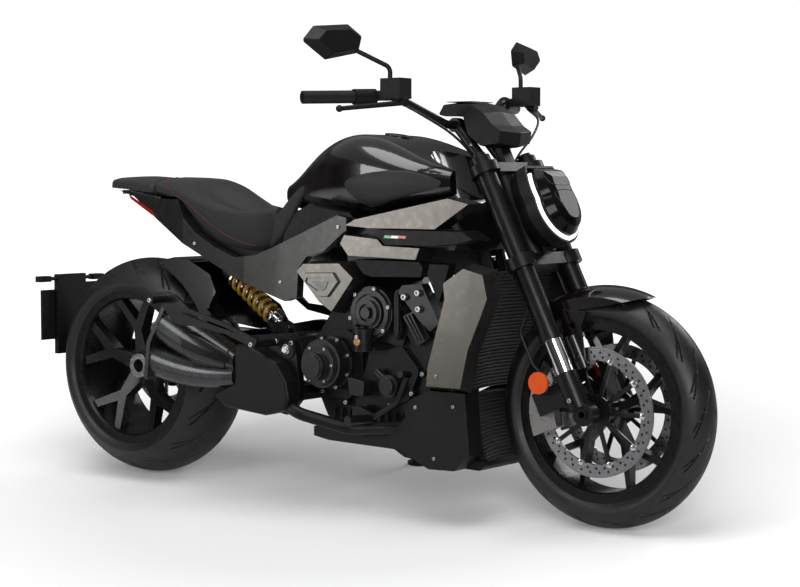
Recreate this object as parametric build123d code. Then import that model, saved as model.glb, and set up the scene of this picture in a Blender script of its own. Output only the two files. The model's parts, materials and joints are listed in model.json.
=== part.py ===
from build123d import *
from math import acos, asin, atan2, cos, degrees, hypot, pi, radians, sin, tan
import os

# A power cruiser motorcycle, modelled upright: x forward from the rear axle, y to the rider's left,
# z up from the ground. All sizes are millimetres and degrees. The last section leans the whole
# machine onto its side stand and sets the origin at the bottom centre of its box.

# Chassis geometry
wheelbase = 1593.0
drawn_wheelbase = 1593.0    # the side views below are drawn for this wheelbase
rake = 26.0
trail = 112.0
lean = 10.0

# Fits
fit = 0.15              # radial room between pieces that are clamped together
seat = 0.3              # gap between a piece and the surface that carries it
spin_gap = 0.5          # axial gap beside a part that turns
pivot_fit = 0.06        # radial room of a running fit

# Wheels and tyres
rim_seat_radius = 218.0
rim_flange_radius = 231.0
rim_flange_width = 6.0
rim_inner_radius = 204.0
rear_radius = 324.0
rear_width = 244.0
rear_drop = 72.0
rear_rim_width = 202.0
front_radius = 300.0
front_width = 122.0
front_drop = 46.0
front_rim_width = 89.0
spoke_count = 5
spoke_split = 17.0

# Brakes
front_disc_radius = 165.0
front_disc_band = 34.0
front_disc_y = 60.0
disc_thickness = 5.0
rear_disc_radius = 132.0
rear_disc_y = 52.0

# Axles
front_axle_radius = 12.5
front_axle_bore = 9.0
front_hub_radius = 34.0
rear_axle_radius = 27.0
rear_axle_bore = 20.0
rear_nut_radius = 36.0
rear_nut_face_y = 68.0
rear_hub_right_y = 52.0

# Fork and yokes, along the steering axis from the front axle's height
fork_offset = 20.0
fork_half_spacing = 107.0
fork_tube_radius = 27.0
fork_collar_radius = 30.0
stanchion_radius = 24.5
fork_foot_top = 100.0
fork_tube_bottom = 190.0
fork_tube_top = 700.0
bottom_yoke_low = 388.0
bottom_yoke_thick = 32.0
top_yoke_low = 652.0
top_yoke_thick = 26.0
stem_radius = 14.0
head_tube_radius = 33.0
yoke_arm = 62.0

# Front fender
fender_room = 14.0      # between tyre and fender
fender_half_width = 70.0
fender_thickness = 4.0
fender_drop = 28.0      # from crown to shoulder
fender_skirt = 38.0     # below the shoulder
fender_front_angle = 60.0
fender_rear_angle = 124.0
bracket_thick = 5.0

# Handlebar, as (forward, distance from the centre plane, up) from the middle of its clamps
bar_radius = 11.0
grip_radius = 16.5
bar_ahead = -44.6
bar_along = 829.5
grip_inner = (-105.0, 352.0, 66.0)
grip_outer = (-165.0, 480.0, 62.0)
bar_elbow_reach = 119.0
bar_clamp = (0.0, 92.0, 0.0)

# Headlamp, across the machine and along the steering axis
lamp_half_width = 86.0
lamp_low = 413.0
lamp_top = 634.0
lamp_rim = 8.0
lamp_strip = 9.0
lamp_face = 112.0       # ahead of the steering axis
riser_half_spacing = 46.0

# Chain drive
chain_y = 190.0
chain_pitch = 15.875
rear_teeth = 43
front_teeth = 15
front_sprocket_x = 775.0
front_sprocket_z = 368.0
chain_width = 16.0
chain_height = 13.0
chain_plate = 3.2
roller_radius = 5.0
roller_sides = 6

# Swingarm
pivot_x = 701.0
pivot_z = 418.0
pivot_radius = 17.0
left_plate_y = 173.0
left_plate_thick = 7.0
right_plate_y = -178.0
right_plate_thick = 22.0

# Frame and engine
radiator_half = 164.0
frame_half = 142.0
frame_top = 780.0
frame_back_half = 125.0
engine_half = 130.0
engine_bottom = 212.0
rear_head_top = 622.0

# Shock, from a tube of the seat frame down to the swingarm
shock_y = -45.0
shock_top_tube = (352.0, 668.0)
shock_top = (352.0, 616.0)
shock_bottom = (560.0, 464.0)
shock_eye_radius = 14.0
shock_eye_thick = 22.0
spring_start = 40.0
spring_turns = 7
spring_radius = 24.0
spring_wire = 5.0
spring_pitch = 24.0
spring_collar = 5.0

# Exhaust, on the right
silencer_front = 545.0
silencer_y = -222.0
header_radius = 17.0
header_y = -151.0
shield_thick = 6.0

# Side stand
stand_pivot = (668.0, 197.0, 232.0)
stand_foot = (775.0, 305.0)
stand_fold = (-0.965, 0.22, -0.10)
stand_radius = 11.0
stand_eye_radius = 16.0
stand_eye_thick = 14.0
stand_pin_radius = 7.0

# Hoses
hose_radius = 4.0
coolant_hose_radius = 9.0

# Cooling fins
fin_thick = 3.0
fin_pitch = 9.0
fin_depth = 6.0

# Steering frame: x forward across the steering axis, z up along it
steer_x = wheelbase + trail - front_radius * tan(radians(rake))
steer_dir = (-sin(radians(rake)), 0, cos(radians(rake)))
steer_plane = Plane(
    origin=(steer_x, 0, front_radius),
    x_dir=(cos(radians(rake)), 0, sin(radians(rake))),
    z_dir=steer_dir,
)
axle_forward = (wheelbase - steer_x) * cos(radians(rake))
axle_along = -(wheelbase - steer_x) * sin(radians(rake))


# Parked attitude: leaned onto the side stand with both tyres on the ground
def crown_radius(width, drop):
    """Radius of a tyre's round crown."""
    return (width**2 / 4 + drop**2) / (2 * drop)


rear_sag = crown_radius(rear_width, rear_drop) * (1 - cos(radians(lean)))
front_sag = crown_radius(front_width, front_drop) * (1 - cos(radians(lean)))
pitch = degrees(atan2(rear_sag - front_sag, wheelbase))
parked = Pos(0, 0, rear_sag) * Rot(0, pitch, 0) * Rot(-lean, 0, 0)


def ground_height(x, y):
    """Height of the ground in the upright frame, once the machine is parked."""
    base = (parked * Pos(x, y, 0)).position.Z
    slope = (parked * Pos(x, y, 1)).position.Z - base
    return -base / slope


def station(x):
    """Place along the machine of a point that is drawn for the standard wheelbase."""
    return x * wheelbase / drawn_wheelbase


def outline(points, rounding=0.0):
    """Closed flat outline through (u, v) points, with rounded corners."""
    face = make_face(Polyline(*points, close=True))
    return fillet(face.vertices(), rounding) if rounding else face


def side_plate(points, y_low, y_high, rounding=0.0):
    """Plate whose side view is the (x, z) outline, between two y values."""
    plane = Plane(origin=(0, y_high, 0), x_dir=(1, 0, 0), z_dir=(0, -1, 0))
    placed_points = [(station(x), z) for x, z in points]
    return extrude(plane * outline(placed_points, rounding), y_high - y_low)


def turned(points, centre=(0, 0, 0), arc=360.0):
    """Ring or disc turned about the y axis through `centre`, from (y, radius) points."""
    return Pos(*centre) * revolve(Plane.YZ * outline(points), Axis.Y, arc)


def disc(centre, radius, y_low, y_high, bore=0.0):
    """Round plate about the y axis, with an optional bore."""
    plane = Plane(origin=(centre[0], y_high, centre[1]), x_dir=(1, 0, 0), z_dir=(0, -1, 0))
    ring = Circle(radius) - Circle(bore) if bore else Circle(radius)
    return extrude(plane * ring, y_high - y_low)


def boss(centre, radius, y_low, y_high, bore=0.0):
    """Round plate about the y axis, at a place drawn for the standard wheelbase."""
    return disc((station(centre[0]), centre[1]), radius, y_low, y_high, bore)


def bosses(centres, radius, y_low, y_high):
    """Several round plates of one size, at places drawn for the standard wheelbase."""
    return [boss(centre, radius, y_low, y_high) for centre in centres]


def rod(start, end, radius, end_radius=None):
    """Straight round bar between two points, tapered if it has a second radius."""
    direction = Vector(*end) - Vector(*start)
    plane = Plane(origin=start, z_dir=direction)
    if end_radius is None:
        return extrude(plane * Circle(radius), direction.length)
    far = Plane(origin=end, z_dir=direction)
    return loft([plane * Circle(radius), far * Circle(end_radius)])


def bent_tube(points, radius, bends):
    """Round tube along straight runs joined by tangent arcs."""
    path = FilletPolyline(*points, radius=bends)
    return sweep(Plane(origin=path @ 0, z_dir=path % 0) * Circle(radius), path=path)


def route(points):
    """Points drawn for the standard wheelbase, put in their place."""
    return [(station(x), y, z) for x, y, z in points]


def section_x(x, half_width, z_low, z_high, rounding):
    """Rounded section across the machine at one x."""
    plane = Plane(origin=(station(x), 0, (z_low + z_high) / 2), x_dir=(0, 1, 0), z_dir=(1, 0, 0))
    return plane * RectangleRounded(2 * half_width, z_high - z_low, rounding)


def both_sides(solid):
    """The solid and its mirror image on the other side of the machine."""
    return [solid, mirror(solid, Plane.XZ)]


def in_fork(shape):
    """Place a shape that is modelled in the steering frame."""
    return steer_plane.location * shape


# Wheels

def tyre(radius, width, drop, rim_width):
    """Solid tyre on its rim, its round crown and bulged walls in straight facets."""
    half, bead, bead_top = width / 2, rim_width / 2, rim_flange_radius + 1
    crown = crown_radius(width, drop)
    reach = degrees(asin(half / crown))
    turns = [lean * step for step in range(int(reach / lean))] + [reach]
    right = [(crown * sin(radians(t)), radius - crown * (1 - cos(radians(t)))) for t in turns]
    wall_mid = (half * 0.35 + bead * 0.65, rim_flange_radius + 0.42 * (radius - drop - rim_flange_radius))
    right += [wall_mid, (bead, bead_top), (bead, rim_seat_radius)]
    return turned(right + [(-y, r) for y, r in reversed(right[1:])])


def barrel(rim_width):
    """Rim barrel with its two flanges and a dropped centre."""
    bead = rim_width / 2 + seat
    edge = bead + rim_flange_width
    seat_r = rim_seat_radius - fit
    well = bead * 0.55
    return turned(
        [
            (-edge, rim_flange_radius), (-bead, rim_flange_radius), (-bead, seat_r), (-well, seat_r),
            (-well + 8, seat_r - 5), (well - 8, seat_r - 5), (well, seat_r), (bead, seat_r),
            (bead, rim_flange_radius), (edge, rim_flange_radius), (edge, rim_inner_radius + 4),
            (edge - 8, rim_inner_radius), (8 - edge, rim_inner_radius), (-edge, rim_inner_radius + 4),
        ]
    )


def y_spoke(hub_radius, root_half, arm_half, fork_radius, reach):
    """Flat outline of one spoke that forks into two arms, pointing along +x."""
    spread = radians(spoke_split)
    tip = Vector(reach * cos(spread), reach * sin(spread))
    crotch = Vector(fork_radius, 0)
    along = (tip - crotch).normalized()
    across = Vector(-along.Y, along.X)
    upper = tip + across * arm_half
    lower = tip - across * arm_half
    root = hub_radius * 0.8
    inner = fork_radius + arm_half / sin(atan2(along.Y, along.X))
    return outline(
        [
            (root, -root_half), (fork_radius - arm_half, -arm_half * 1.3), (upper.X, -upper.Y),
            (lower.X, -lower.Y), (inner, 0), (lower.X, lower.Y), (upper.X, upper.Y),
            (fork_radius - arm_half, arm_half * 1.3), (root, root_half),
        ]
    )


def wheel_star(hub_radius, root_half, arm_half, fork_radius, band):
    """All spokes, trimmed to the dished band given by its (y, radius) outline."""
    spoke = y_spoke(hub_radius, root_half, arm_half, fork_radius, rim_inner_radius + 6)
    wide = max(abs(y) for y, _ in band) + 5
    flat = Plane(origin=(0, wide, 0), x_dir=(1, 0, 0), z_dir=(0, -1, 0))
    star = None
    for index in range(spoke_count):
        arm = extrude(flat * (Rot(0, 0, 90 + index * 360 / spoke_count) * spoke), 2 * wide)
        star = arm if star is None else star + arm
    return star & turned(band)


def rear_rim():
    """Rear rim: five forked spokes run out from the hub to the right-hand edge."""
    bore = rear_axle_radius + fit
    band = [(-rear_hub_right_y, bore + 6), (-92, rim_inner_radius + 3), (-60, rim_inner_radius + 3), (-8, bore + 6)]
    left = rear_disc_y - disc_thickness / 2 - seat
    hub = turned([(-rear_hub_right_y, bore), (-rear_hub_right_y, 50), (-20, 60), (30, 48), (left, 48), (left, bore)])
    star = wheel_star(50, 24, 11, 118, band) - turned([(-150, 0), (-150, bore + 5), (150, bore + 5), (150, 0)])
    return Pos(0, 0, rear_radius) * (barrel(rear_rim_width) + star + hub)


def front_rim():
    """Front rim: slim forked spokes, symmetric about the wheel's centre plane."""
    bore = front_axle_radius + pivot_fit
    front_hub_half = front_disc_y - disc_thickness / 2 - seat
    band = [(-30, 20), (-11, rim_inner_radius + 3), (11, rim_inner_radius + 3), (30, 20)]
    hub = turned(
        [
            (-front_hub_half, bore), (-front_hub_half, front_hub_radius), (-22, front_hub_radius),
            (-18, 30), (18, 30), (22, front_hub_radius), (front_hub_half, front_hub_radius),
            (front_hub_half, bore),
        ]
    )
    star = wheel_star(30, 13, 7, 105, band) - turned([(-99, 0), (-99, bore + 5), (99, bore + 5), (99, 0)])
    return Pos(wheelbase, 0, front_radius) * (barrel(front_rim_width) + star + hub)


def brake_disc(centre, radius, band, hub_radius, hub_bore, y, arms):
    """Brake disc: a flat ring held by a carrier with straight arms."""
    low, high = y - disc_thickness / 2, y + disc_thickness / 2
    ring = disc(centre, radius, low, high, radius - band)
    carrier = disc(centre, hub_radius, low, high, hub_bore)
    plane = Plane(origin=(0, high, 0), x_dir=(1, 0, 0), z_dir=(0, -1, 0))
    reach = radius - band - hub_radius + 8
    arm = Pos(hub_radius - 4 + reach / 2, 0) * Rectangle(reach, 11)
    for index in range(arms):
        turn = Rot(0, 0, index * 360 / arms)
        carrier += Pos(centre[0], 0, centre[1]) * extrude(plane * (turn * arm), disc_thickness)
    return ring + carrier


def front_discs():
    """Both front discs, bolted to the ends of the hub."""
    centre = (wheelbase, front_radius)
    right = brake_disc(centre, front_disc_radius, front_disc_band, 44, 20, -front_disc_y, 10)
    return both_sides(right)


# Steering body, modelled in the steering frame

bar_centre = in_fork(Pos(bar_ahead, 0, bar_along)).position
on_bars = Pos(bar_centre.X, 0, bar_centre.Z)
front_axle_at = Pos(wheelbase, 0, front_radius)


def leg_circles(radius):
    """Round sections of both fork legs."""
    return [Pos(fork_offset, side * fork_half_spacing) * Circle(radius) for side in (-1, 1)]


def yoke_sketch(bore, stem_bore, waist):
    """Yoke seen along the steering axis: two leg clamps and the stem boss."""
    sketch = Rectangle(yoke_arm, 2 * fork_half_spacing)
    sketch = Pos(fork_offset * 0.6, 0) * sketch
    for clamp in leg_circles(fork_tube_radius + 13):
        sketch += clamp
    sketch += Circle(waist)
    for hole in leg_circles(bore):
        sketch -= hole
    if stem_bore:
        sketch -= Circle(stem_bore)
    return sketch


def bottom_yoke():
    """Bottom yoke with the steering stem that turns in the head tube."""
    plate = extrude(yoke_sketch(fork_tube_radius + fit, 0, 40), bottom_yoke_thick)
    stem_top = top_yoke_low + top_yoke_thick + 2 - bottom_yoke_low
    stem = Cylinder(stem_radius, stem_top, align=(Align.CENTER, Align.CENTER, Align.MIN))
    return in_fork(Pos(0, 0, bottom_yoke_low) * (plate + stem))


def top_yoke():
    """Top yoke, clamped on the stem, with its nut and the two bar risers."""
    sketch = yoke_sketch(fork_tube_radius + fit, stem_radius + fit, 36)
    yoke = in_fork(Pos(0, 0, top_yoke_low) * extrude(sketch, top_yoke_thick))
    x, z = bar_centre.X, bar_centre.Z
    for y in (-riser_half_spacing, riser_half_spacing):
        foot = in_fork(Pos(0, y, top_yoke_low + top_yoke_thick - 4)).position
        yoke += rod((foot.X, y, foot.Z), (x, y, z), 15)
        yoke += disc((x, z), 19, y - 13, y + 13)
    return yoke - disc((x, z), bar_radius + fit, -200, 200)


def fork_tubes():
    """The two outer tubes with their lower collars and top caps."""
    tubes = []
    for side in (-1, 1):
        length = fork_tube_top - fork_tube_bottom
        tube = Cylinder(fork_tube_radius, length, align=(Align.CENTER, Align.CENTER, Align.MIN))
        tube += Cylinder(fork_collar_radius, 28, align=(Align.CENTER, Align.CENTER, Align.MIN))
        cap = Cylinder(18, 10, align=(Align.CENTER, Align.CENTER, Align.MIN))
        tube += Pos(0, 0, length) * cap
        tubes.append(in_fork(Pos(fork_offset, side * fork_half_spacing, fork_tube_bottom) * tube))
    return tubes


def stanchions():
    """The polished inner tubes between collar and foot."""
    length = fork_tube_bottom - fork_foot_top
    bar = Cylinder(stanchion_radius, length, align=(Align.CENTER, Align.CENTER, Align.MIN))
    return [in_fork(Pos(fork_offset, side * fork_half_spacing, fork_foot_top) * bar) for side in (-1, 1)]


def fork_feet():
    """Cast feet: a sleeve on each leg, the axle eye and the caliper lug."""
    feet = []
    eye_radius = 29.0
    for side in (-1, 1):
        y = side * fork_half_spacing
        sleeve = Pos(fork_offset, y, 5) * Cylinder(
            stanchion_radius + 5, fork_foot_top - 5, align=(Align.CENTER, Align.CENTER, Align.MIN)
        )
        eye = Pos(axle_forward, y, axle_along) * Rot(90, 0, 0) * Cylinder(eye_radius, 34)
        lug = Pos(-40, side * 102, 58) * Box(110, 19.4, 60)
        lug += Pos(-49, side * 120, 96) * Box(26, 16, 44)
        bore = Pos(axle_forward, y, axle_along) * Rot(90, 0, 0) * Cylinder(front_axle_radius + fit, 80)
        feet.append(in_fork(sleeve + eye + lug - bore))
    return feet


def front_axle():
    """Hollow front axle from foot to foot."""
    reach = fork_half_spacing + 22
    return disc((wheelbase, front_radius), front_axle_radius, -reach, reach, front_axle_bore)


def front_fender():
    """Fender over the tyre, deep at the back and pointed in front, with a bracket on each side."""
    half, inside = fender_half_width, fender_half_width - fender_thickness
    top = front_radius + fender_room + fender_thickness
    shoulder = top - fender_drop
    low = shoulder - fender_skirt
    outer = ThreePointArc((-half, shoulder), (0, top), (half, shoulder))
    inner = ThreePointArc((-inside, shoulder), (0, top - fender_thickness), (inside, shoulder))
    right = Polyline((inside, shoulder), (inside, low), (half, low), (half, shoulder))
    left = Polyline((-half, shoulder), (-half, low), (-inside, low), (-inside, shoulder))
    face = Plane.YZ * make_face([outer, right, inner, left])
    shell = revolve(face, Axis.Y, -(fender_rear_angle - fender_front_angle))
    shell = Rot(0, 90 - fender_front_angle, 0) * shell
    edge = [(-108, low - 8), (38, low + 18), (150, low + 44), (top, low + 46), (top, 0), (-108, 0)]
    shell -= side_plate(edge, -2 * half, 2 * half)
    foot = in_fork(Pos(fork_offset, 0, 80)).position - front_axle_at.position
    leg_side = fork_half_spacing - stanchion_radius - 5 - seat
    plate = side_plate([(-98, low + 2), (-20, low + 2), (-36, 215), (-16, 84), (-48, 66), (-80, 150)], half, half + bracket_thick, 6)
    plate -= disc((-62, low - 34), 9, half - 1, half + bracket_thick + 1)
    plate -= disc((-48, 140), 8, half - 1, half + bracket_thick + 1)
    plate += disc((foot.X, foot.Z), 9, half + 1, leg_side)
    return front_axle_at * (shell + plate + mirror(plate, Plane.XZ))


def lamp_outline():
    """Horseshoe outline of the headlamp, as (y, along the steering axis)."""
    wide, low, top = lamp_half_width, lamp_low, lamp_top
    middle = low + 0.58 * (top - low)
    right = [
        ThreePointArc((0, low), (0.72 * wide, low + 0.13 * (top - low)), (wide, middle)),
        ThreePointArc((wide, middle), (0.97 * wide, top - 42), (0.77 * wide, top)),
    ]
    left = [mirror(arc, Plane.YZ) for arc in right]
    return make_face([*right, Line((0.77 * wide, top), (-0.77 * wide, top)), *left])


def lamp_section(n, inset):
    """The headlamp's outline, drawn in by an amount, at distance n ahead of the steering axis."""
    plane = Plane(origin=(n, 0, 0), x_dir=(0, 1, 0), z_dir=(1, 0, 0))
    return plane * (offset(lamp_outline(), -inset) if inset else lamp_outline())


def headlamp_shell():
    """Matte bucket behind the lens, open at the front."""
    bucket = loft([lamp_section(lamp_face - 62, 14), lamp_section(lamp_face - 30, 1)])
    bucket += extrude(lamp_section(lamp_face - 30, 1), 30)
    bucket -= extrude(lamp_section(lamp_face - 16, lamp_rim), 30)
    yoke_front = fork_offset * 0.6 + yoke_arm / 2 + seat
    arm = lamp_face - 58 - yoke_front
    bracket = Pos(yoke_front + arm / 2, 0, lamp_low + 22) * Box(arm, 44, 30)
    return in_fork(bucket + bracket)


def headlamp_lens():
    """Dark domed lens standing out of the bucket."""
    inset = lamp_rim + lamp_strip + 2 * seat
    base = extrude(lamp_section(lamp_face - 16 + seat, inset), 30)
    dome = loft([lamp_section(lamp_face + 14, inset), lamp_section(lamp_face + 34, inset + 14)])
    nose = loft([lamp_section(lamp_face + 34, inset + 14), lamp_section(lamp_face + 44, inset + 34)])
    return in_fork(base + dome + nose)


def on_side(point, side):
    """A point given by its distance from the centre plane, on one side."""
    return (point[0], side * point[1], point[2])


def handlebar():
    """Bar from grip to grip, bent down to the two clamps."""
    inner, outer = Vector(*grip_inner), Vector(*grip_outer)
    elbow = inner + (inner - outer).normalized() * bar_elbow_reach
    knots = [grip_outer, (elbow.X, elbow.Y, elbow.Z), bar_clamp]
    points = [on_side(knot, -1) for knot in knots] + [on_side(knot, 1) for knot in reversed(knots)]
    return on_bars * bent_tube(points, bar_radius, [60, 50, 50, 60])


def grips():
    """Rubber grips over the bar's ends."""
    sides = []
    for side in (-1, 1):
        inner, outer = on_side(grip_inner, side), on_side(grip_outer, side)
        sides.append(on_bars * (rod(inner, outer, grip_radius) - rod(inner, outer, bar_radius + fit)))
    return sides


def hand_controls():
    """Switch housing, fluid reservoir and lever beside each grip."""
    inner, outer = Vector(*on_side(grip_inner, -1)), Vector(*on_side(grip_outer, -1))
    inward = (inner - outer).normalized()
    start, end = inner + inward * 1, inner + inward * 62
    body = rod(tuple(start), tuple(end), 20)
    body += Pos(-47, -300, 70) * Box(50, 26, 24)
    body += Pos(-9, -300, 86) * Box(62, 50, 52)
    body += rod((-5, -300, 64), (23, -302, 50), 11)
    body += rod((17, -300, 50), (-60, -462, 32), 7, 6)
    body += Pos(-60, -464, 32) * Sphere(9)
    body -= rod(tuple(outer), tuple(end + inward * 20), bar_radius + fit)
    return both_sides(on_bars * body)


def mirrors():
    """Mirrors on bent stems, each with a six-sided housing."""
    corners = [(-100, 4), (-62, 40), (48, 44), (92, 14), (78, -28), (-30, -44)]
    face = outline(corners, 8)
    back = outline([(u * 0.72, v * 0.66) for u, v in corners], 5)
    plane = Plane(origin=(-107, -428, 200), x_dir=(0.22, 0.975, 0.05), z_dir=(0.975, -0.22, 0))
    head = loft([plane * face, plane.offset(30) * back])
    stem = bent_tube([(-27, -300, 112 + seat), (-27, -300, 140), (-85, -368, 182)], 6, [20])
    return both_sides(on_bars * (stem + head))


def dash():
    """Instrument pod over and ahead of the bar clamps, on a post from the top yoke."""
    side = [
        (-55, 30), (-35, 60), (65, 58), (109, 33), (143, -4), (172, -22), (166, -60), (100, -66),
        (54, -32), (36, 24), (-30, 24),
    ]
    half = chiselled(side, 0, -74, 18, 5, (58, 10))
    pod = on_bars * (half + mirror(half, Plane.XZ))
    yoke_top = top_yoke_low + top_yoke_thick + seat
    post_top = bar_along - 85
    post = in_fork(Pos(30, 0, (yoke_top + post_top) / 2) * Box(18, 44, post_top - yoke_top))
    return pod + post


def sector(centre, inner_r, outer_r, from_angle, to_angle, y_low, y_high):
    """Arc-shaped block about an axle, between two angles measured from +x towards +z."""
    steps = [from_angle, (from_angle + to_angle) / 2, to_angle]
    outer = [(outer_r * cos(radians(t)), outer_r * sin(radians(t))) for t in steps]
    inner = [(inner_r * cos(radians(t)), inner_r * sin(radians(t))) for t in steps]
    lines = [ThreePointArc(*outer), Line(outer[2], inner[2]), ThreePointArc(*inner[::-1]), Line(inner[0], outer[0])]
    plane = Plane(origin=(centre[0], y_high, centre[1]), x_dir=(1, 0, 0), z_dir=(0, -1, 0))
    return extrude(plane * make_face(lines), y_high - y_low)


def front_calipers():
    """Radial calipers behind the fork feet, each astride its disc."""
    centre = (wheelbase, front_radius)
    body = sector(centre, 104, 178, 160, 203, -92, -40)
    slot = sector(centre, 90, front_disc_radius + 3, 150, 213, -front_disc_y - 5, -front_disc_y + 5)
    return both_sides(body - slot)


def brake_hoses():
    """Brake hose on each side, from the caliper up behind the fork leg to the bottom yoke."""
    calliper_end = front_axle_at * Pos(-141, -80, 51.6)
    knots = [(-57.6, -80, 108), (-67.1, -96, 160.7), (-65.2, -102, 248.8), (-16, -102, 290)]
    points = [tuple(calliper_end.position)]
    points += [tuple(in_fork(Pos(*knot)).position) for knot in knots]
    points.append(tuple(in_fork(Pos(-16, -102, bottom_yoke_low - seat)).position))
    return both_sides(bent_tube(points, hose_radius, [16, 40, 40, 30]))


def fork_reflectors():
    """Round orange reflectors on the fork feet."""
    place = in_fork(Pos(-49, 0, 104)).position
    return both_sides(disc((place.X, place.Z), 28, -137, -128 - seat))


def light_strip():
    """White running light round the lens, in two arms that nearly meet below it."""
    strip = extrude(lamp_section(lamp_face - 16 + seat, lamp_rim + seat), 22)
    strip -= extrude(lamp_section(lamp_face - 17, lamp_rim + lamp_strip), 40)
    strip -= Pos(lamp_face, 0, lamp_top) * Box(60, 2 * lamp_half_width, 50)
    strip -= Pos(lamp_face, 0, lamp_low) * Box(60, 8, 80)
    return [in_fork(arm) for arm in strip.solids()]


# Chassis helpers

def chiselled(points, y_inner, y_outer, inset, rounding=0.0, centre=None):
    """Side panel with a full outline on its inner face and a smaller one on its outer face."""
    cx = centre[0] if centre else sum(x for x, _ in points) / len(points)
    cz = centre[1] if centre else sum(z for _, z in points) / len(points)
    size = max(hypot(x - cx, z - cz) for x, z in points)
    scale = 1 - inset / size
    full = [(station(x), z) for x, z in points]
    small = [(station(cx + (x - cx) * scale), cz + (z - cz) * scale) for x, z in points]
    inner = Plane(origin=(0, y_inner, 0), x_dir=(1, 0, 0), z_dir=(0, -1, 0)) * outline(full, rounding)
    outer = Plane(origin=(0, y_outer, 0), x_dir=(1, 0, 0), z_dir=(0, -1, 0)) * outline(small, rounding * scale)
    return loft([inner, outer])


def plan_plate(points, z_low, z_high):
    """Plate whose plan view is the (x, y) outline, between two heights."""
    placed_points = [(station(x), y) for x, y in points]
    return Pos(0, 0, z_low) * extrude(outline(placed_points), z_high - z_low)


def steering_room():
    """Round space that the fork legs sweep, with room to spare."""
    reach = hypot(fork_offset, fork_half_spacing) + fork_tube_radius + 13 + 6
    return in_fork(Pos(0, 0, 300) * Cylinder(reach, 700, align=(Align.CENTER, Align.CENTER, Align.MIN)))


# Chassis

def tank():
    """Fuel tank with its cheeks, cut clear of the turning fork."""
    sections = [
        section_x(590, 70, 812, 868, 24),
        section_x(700, 118, 800, 935, 50),
        section_x(790, 158, 795, 985, 75),
        section_x(870, 182, 790, 1004, 88),
        section_x(980, 196, 797, 990, 84),
        section_x(1100, 196, 820, 946, 56),
        section_x(1225, 176, 846, 905, 24),
    ]
    rail = side_plate([(945, frame_top + seat), (995, frame_top + seat), (995, 835), (945, 835)], -70, 70)
    return loft(sections) - steering_room() + rail


def main_frame():
    """Front frame: steering head, neck, upper box and rear arms on the engine."""
    low = bottom_yoke_low + bottom_yoke_thick + spin_gap
    high = top_yoke_low - spin_gap
    head = Pos(0, 0, low) * Cylinder(head_tube_radius, high - low, align=(Align.CENTER, Align.CENTER, Align.MIN))
    bore = Pos(0, 0, low - 5) * Cylinder(
        stem_radius + pivot_fit, high - low + 10, align=(Align.CENTER, Align.CENTER, Align.MIN)
    )
    neck = side_plate([(1352, 706), (1285, 840), (1150, 790), (1000, 780), (1000, 700), (1250, 700)], -44, 44)
    box = side_plate([(940, 700), (1215, 700), (1240, 740), (1180, frame_top), (940, frame_top)], -frame_half, frame_half)
    foot = rear_head_top + seat
    back = side_plate([(850, foot), (955, foot), (955, 775), (850, 775)], -frame_back_half, frame_back_half)
    return in_fork(head) + neck + (box - steering_room()) + back - in_fork(bore)


def airbox():
    """Airbox under the upper frame box, with the grey side panels that stand out from it."""
    box = side_plate([(960, 628), (1120, 628), (1150, 700 - seat), (960, 700 - seat)], -frame_half, frame_half)
    strip = chiselled([(917, 672), (1141, 671), (1154, 655), (1146, 630), (978, 626), (950, 634)], -frame_half, -190, 5, 3)
    panel = chiselled([(1152, 640), (1160, 668), (1228, 667), (1206, 596), (1192, 560)], -frame_half - 8, -178, 5, 3)
    panel += side_plate([(1100, 655), (1160, 665), (1160, 640), (1100, 632)], -frame_half - 16, -frame_half + 4)
    return box + strip + mirror(strip, Plane.XZ) + panel + mirror(panel, Plane.XZ)


def engine_block():
    """Crankcase with its front and rear cylinder banks, sump ribs and bolt bosses."""
    case = side_plate(
        [
            (742, 300), (775, 235), (880, engine_bottom), (1040, engine_bottom), (1110, 270), (1130, 380),
            (1090, 450), (1000, 540), (800, 540), (742, 460),
        ],
        -engine_half + 14, engine_half - 14, 14,
    )
    front_bank = side_plate([(1030, 500), (1128, 590), (1185, 520), (1120, 400)], -engine_half, engine_half, 8)
    rear_bank = side_plate(
        [(790, 530), (770, rear_head_top), (900, rear_head_top), (960, 530)], -engine_half, engine_half
    )
    clutch_case = side_plate(
        [(742, 462), (742, 330), (775, 290), (860, 290), (905, 340), (905, 450), (850, 478)], -engine_half, engine_half, 12
    )
    timing_case = side_plate([(868, 470), (868, 560), (1030, 560), (1062, 500), (1040, 440)], -engine_half, engine_half, 16)
    low_case = side_plate([(905, 350), (905, 285), (960, 262), (1060, 300), (1095, 380), (1040, 440), (930, 420)], -engine_half, engine_half, 14)
    block = case + front_bank + rear_bank + clutch_case + timing_case + low_case
    for x in range(800, 1061, 26):
        block += side_plate([(x, engine_bottom), (x + 6, engine_bottom), (x + 6, 262), (x, 262)], -engine_half + 5, engine_half - 5)
    along_joint = [(770, 306), (850, 280), (920, 272), (1000, 282), (1072, 318), (1108, 372)]
    for side in (-1, 1):
        low, high = sorted((side * (engine_half - 24), side * (engine_half + 3)))
        for centre in along_joint:
            block += boss(centre, 9, low, high)
    return block


def head_covers():
    """Cam covers over the ends of the front bank, each with its bolt bosses and a slatted guard below."""
    face = -engine_half - seat
    cover = side_plate([(1064, 606), (1126, 612), (1184, 512), (1155, 488), (1120, 516), (1051, 588)], -165, face, 6)
    for centre in [(1076, 576), (1120, 588), (1122, 546)]:
        cover += boss(centre, 10, -170, -164)
    slats = side_plate([(1056, 524), (1094, 542), (1140, 470), (1100, 446)], -146, face, 2)
    for step in range(3):
        shift = 11 * step
        slats += side_plate(
            [(1062 + shift, 524 + 3 * step), (1067 + shift, 526 + 3 * step), (1108 + shift, 468), (1103 + shift, 464)],
            -158, -145,
        )
    return [*both_sides(cover), *both_sides(slats)]


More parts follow.
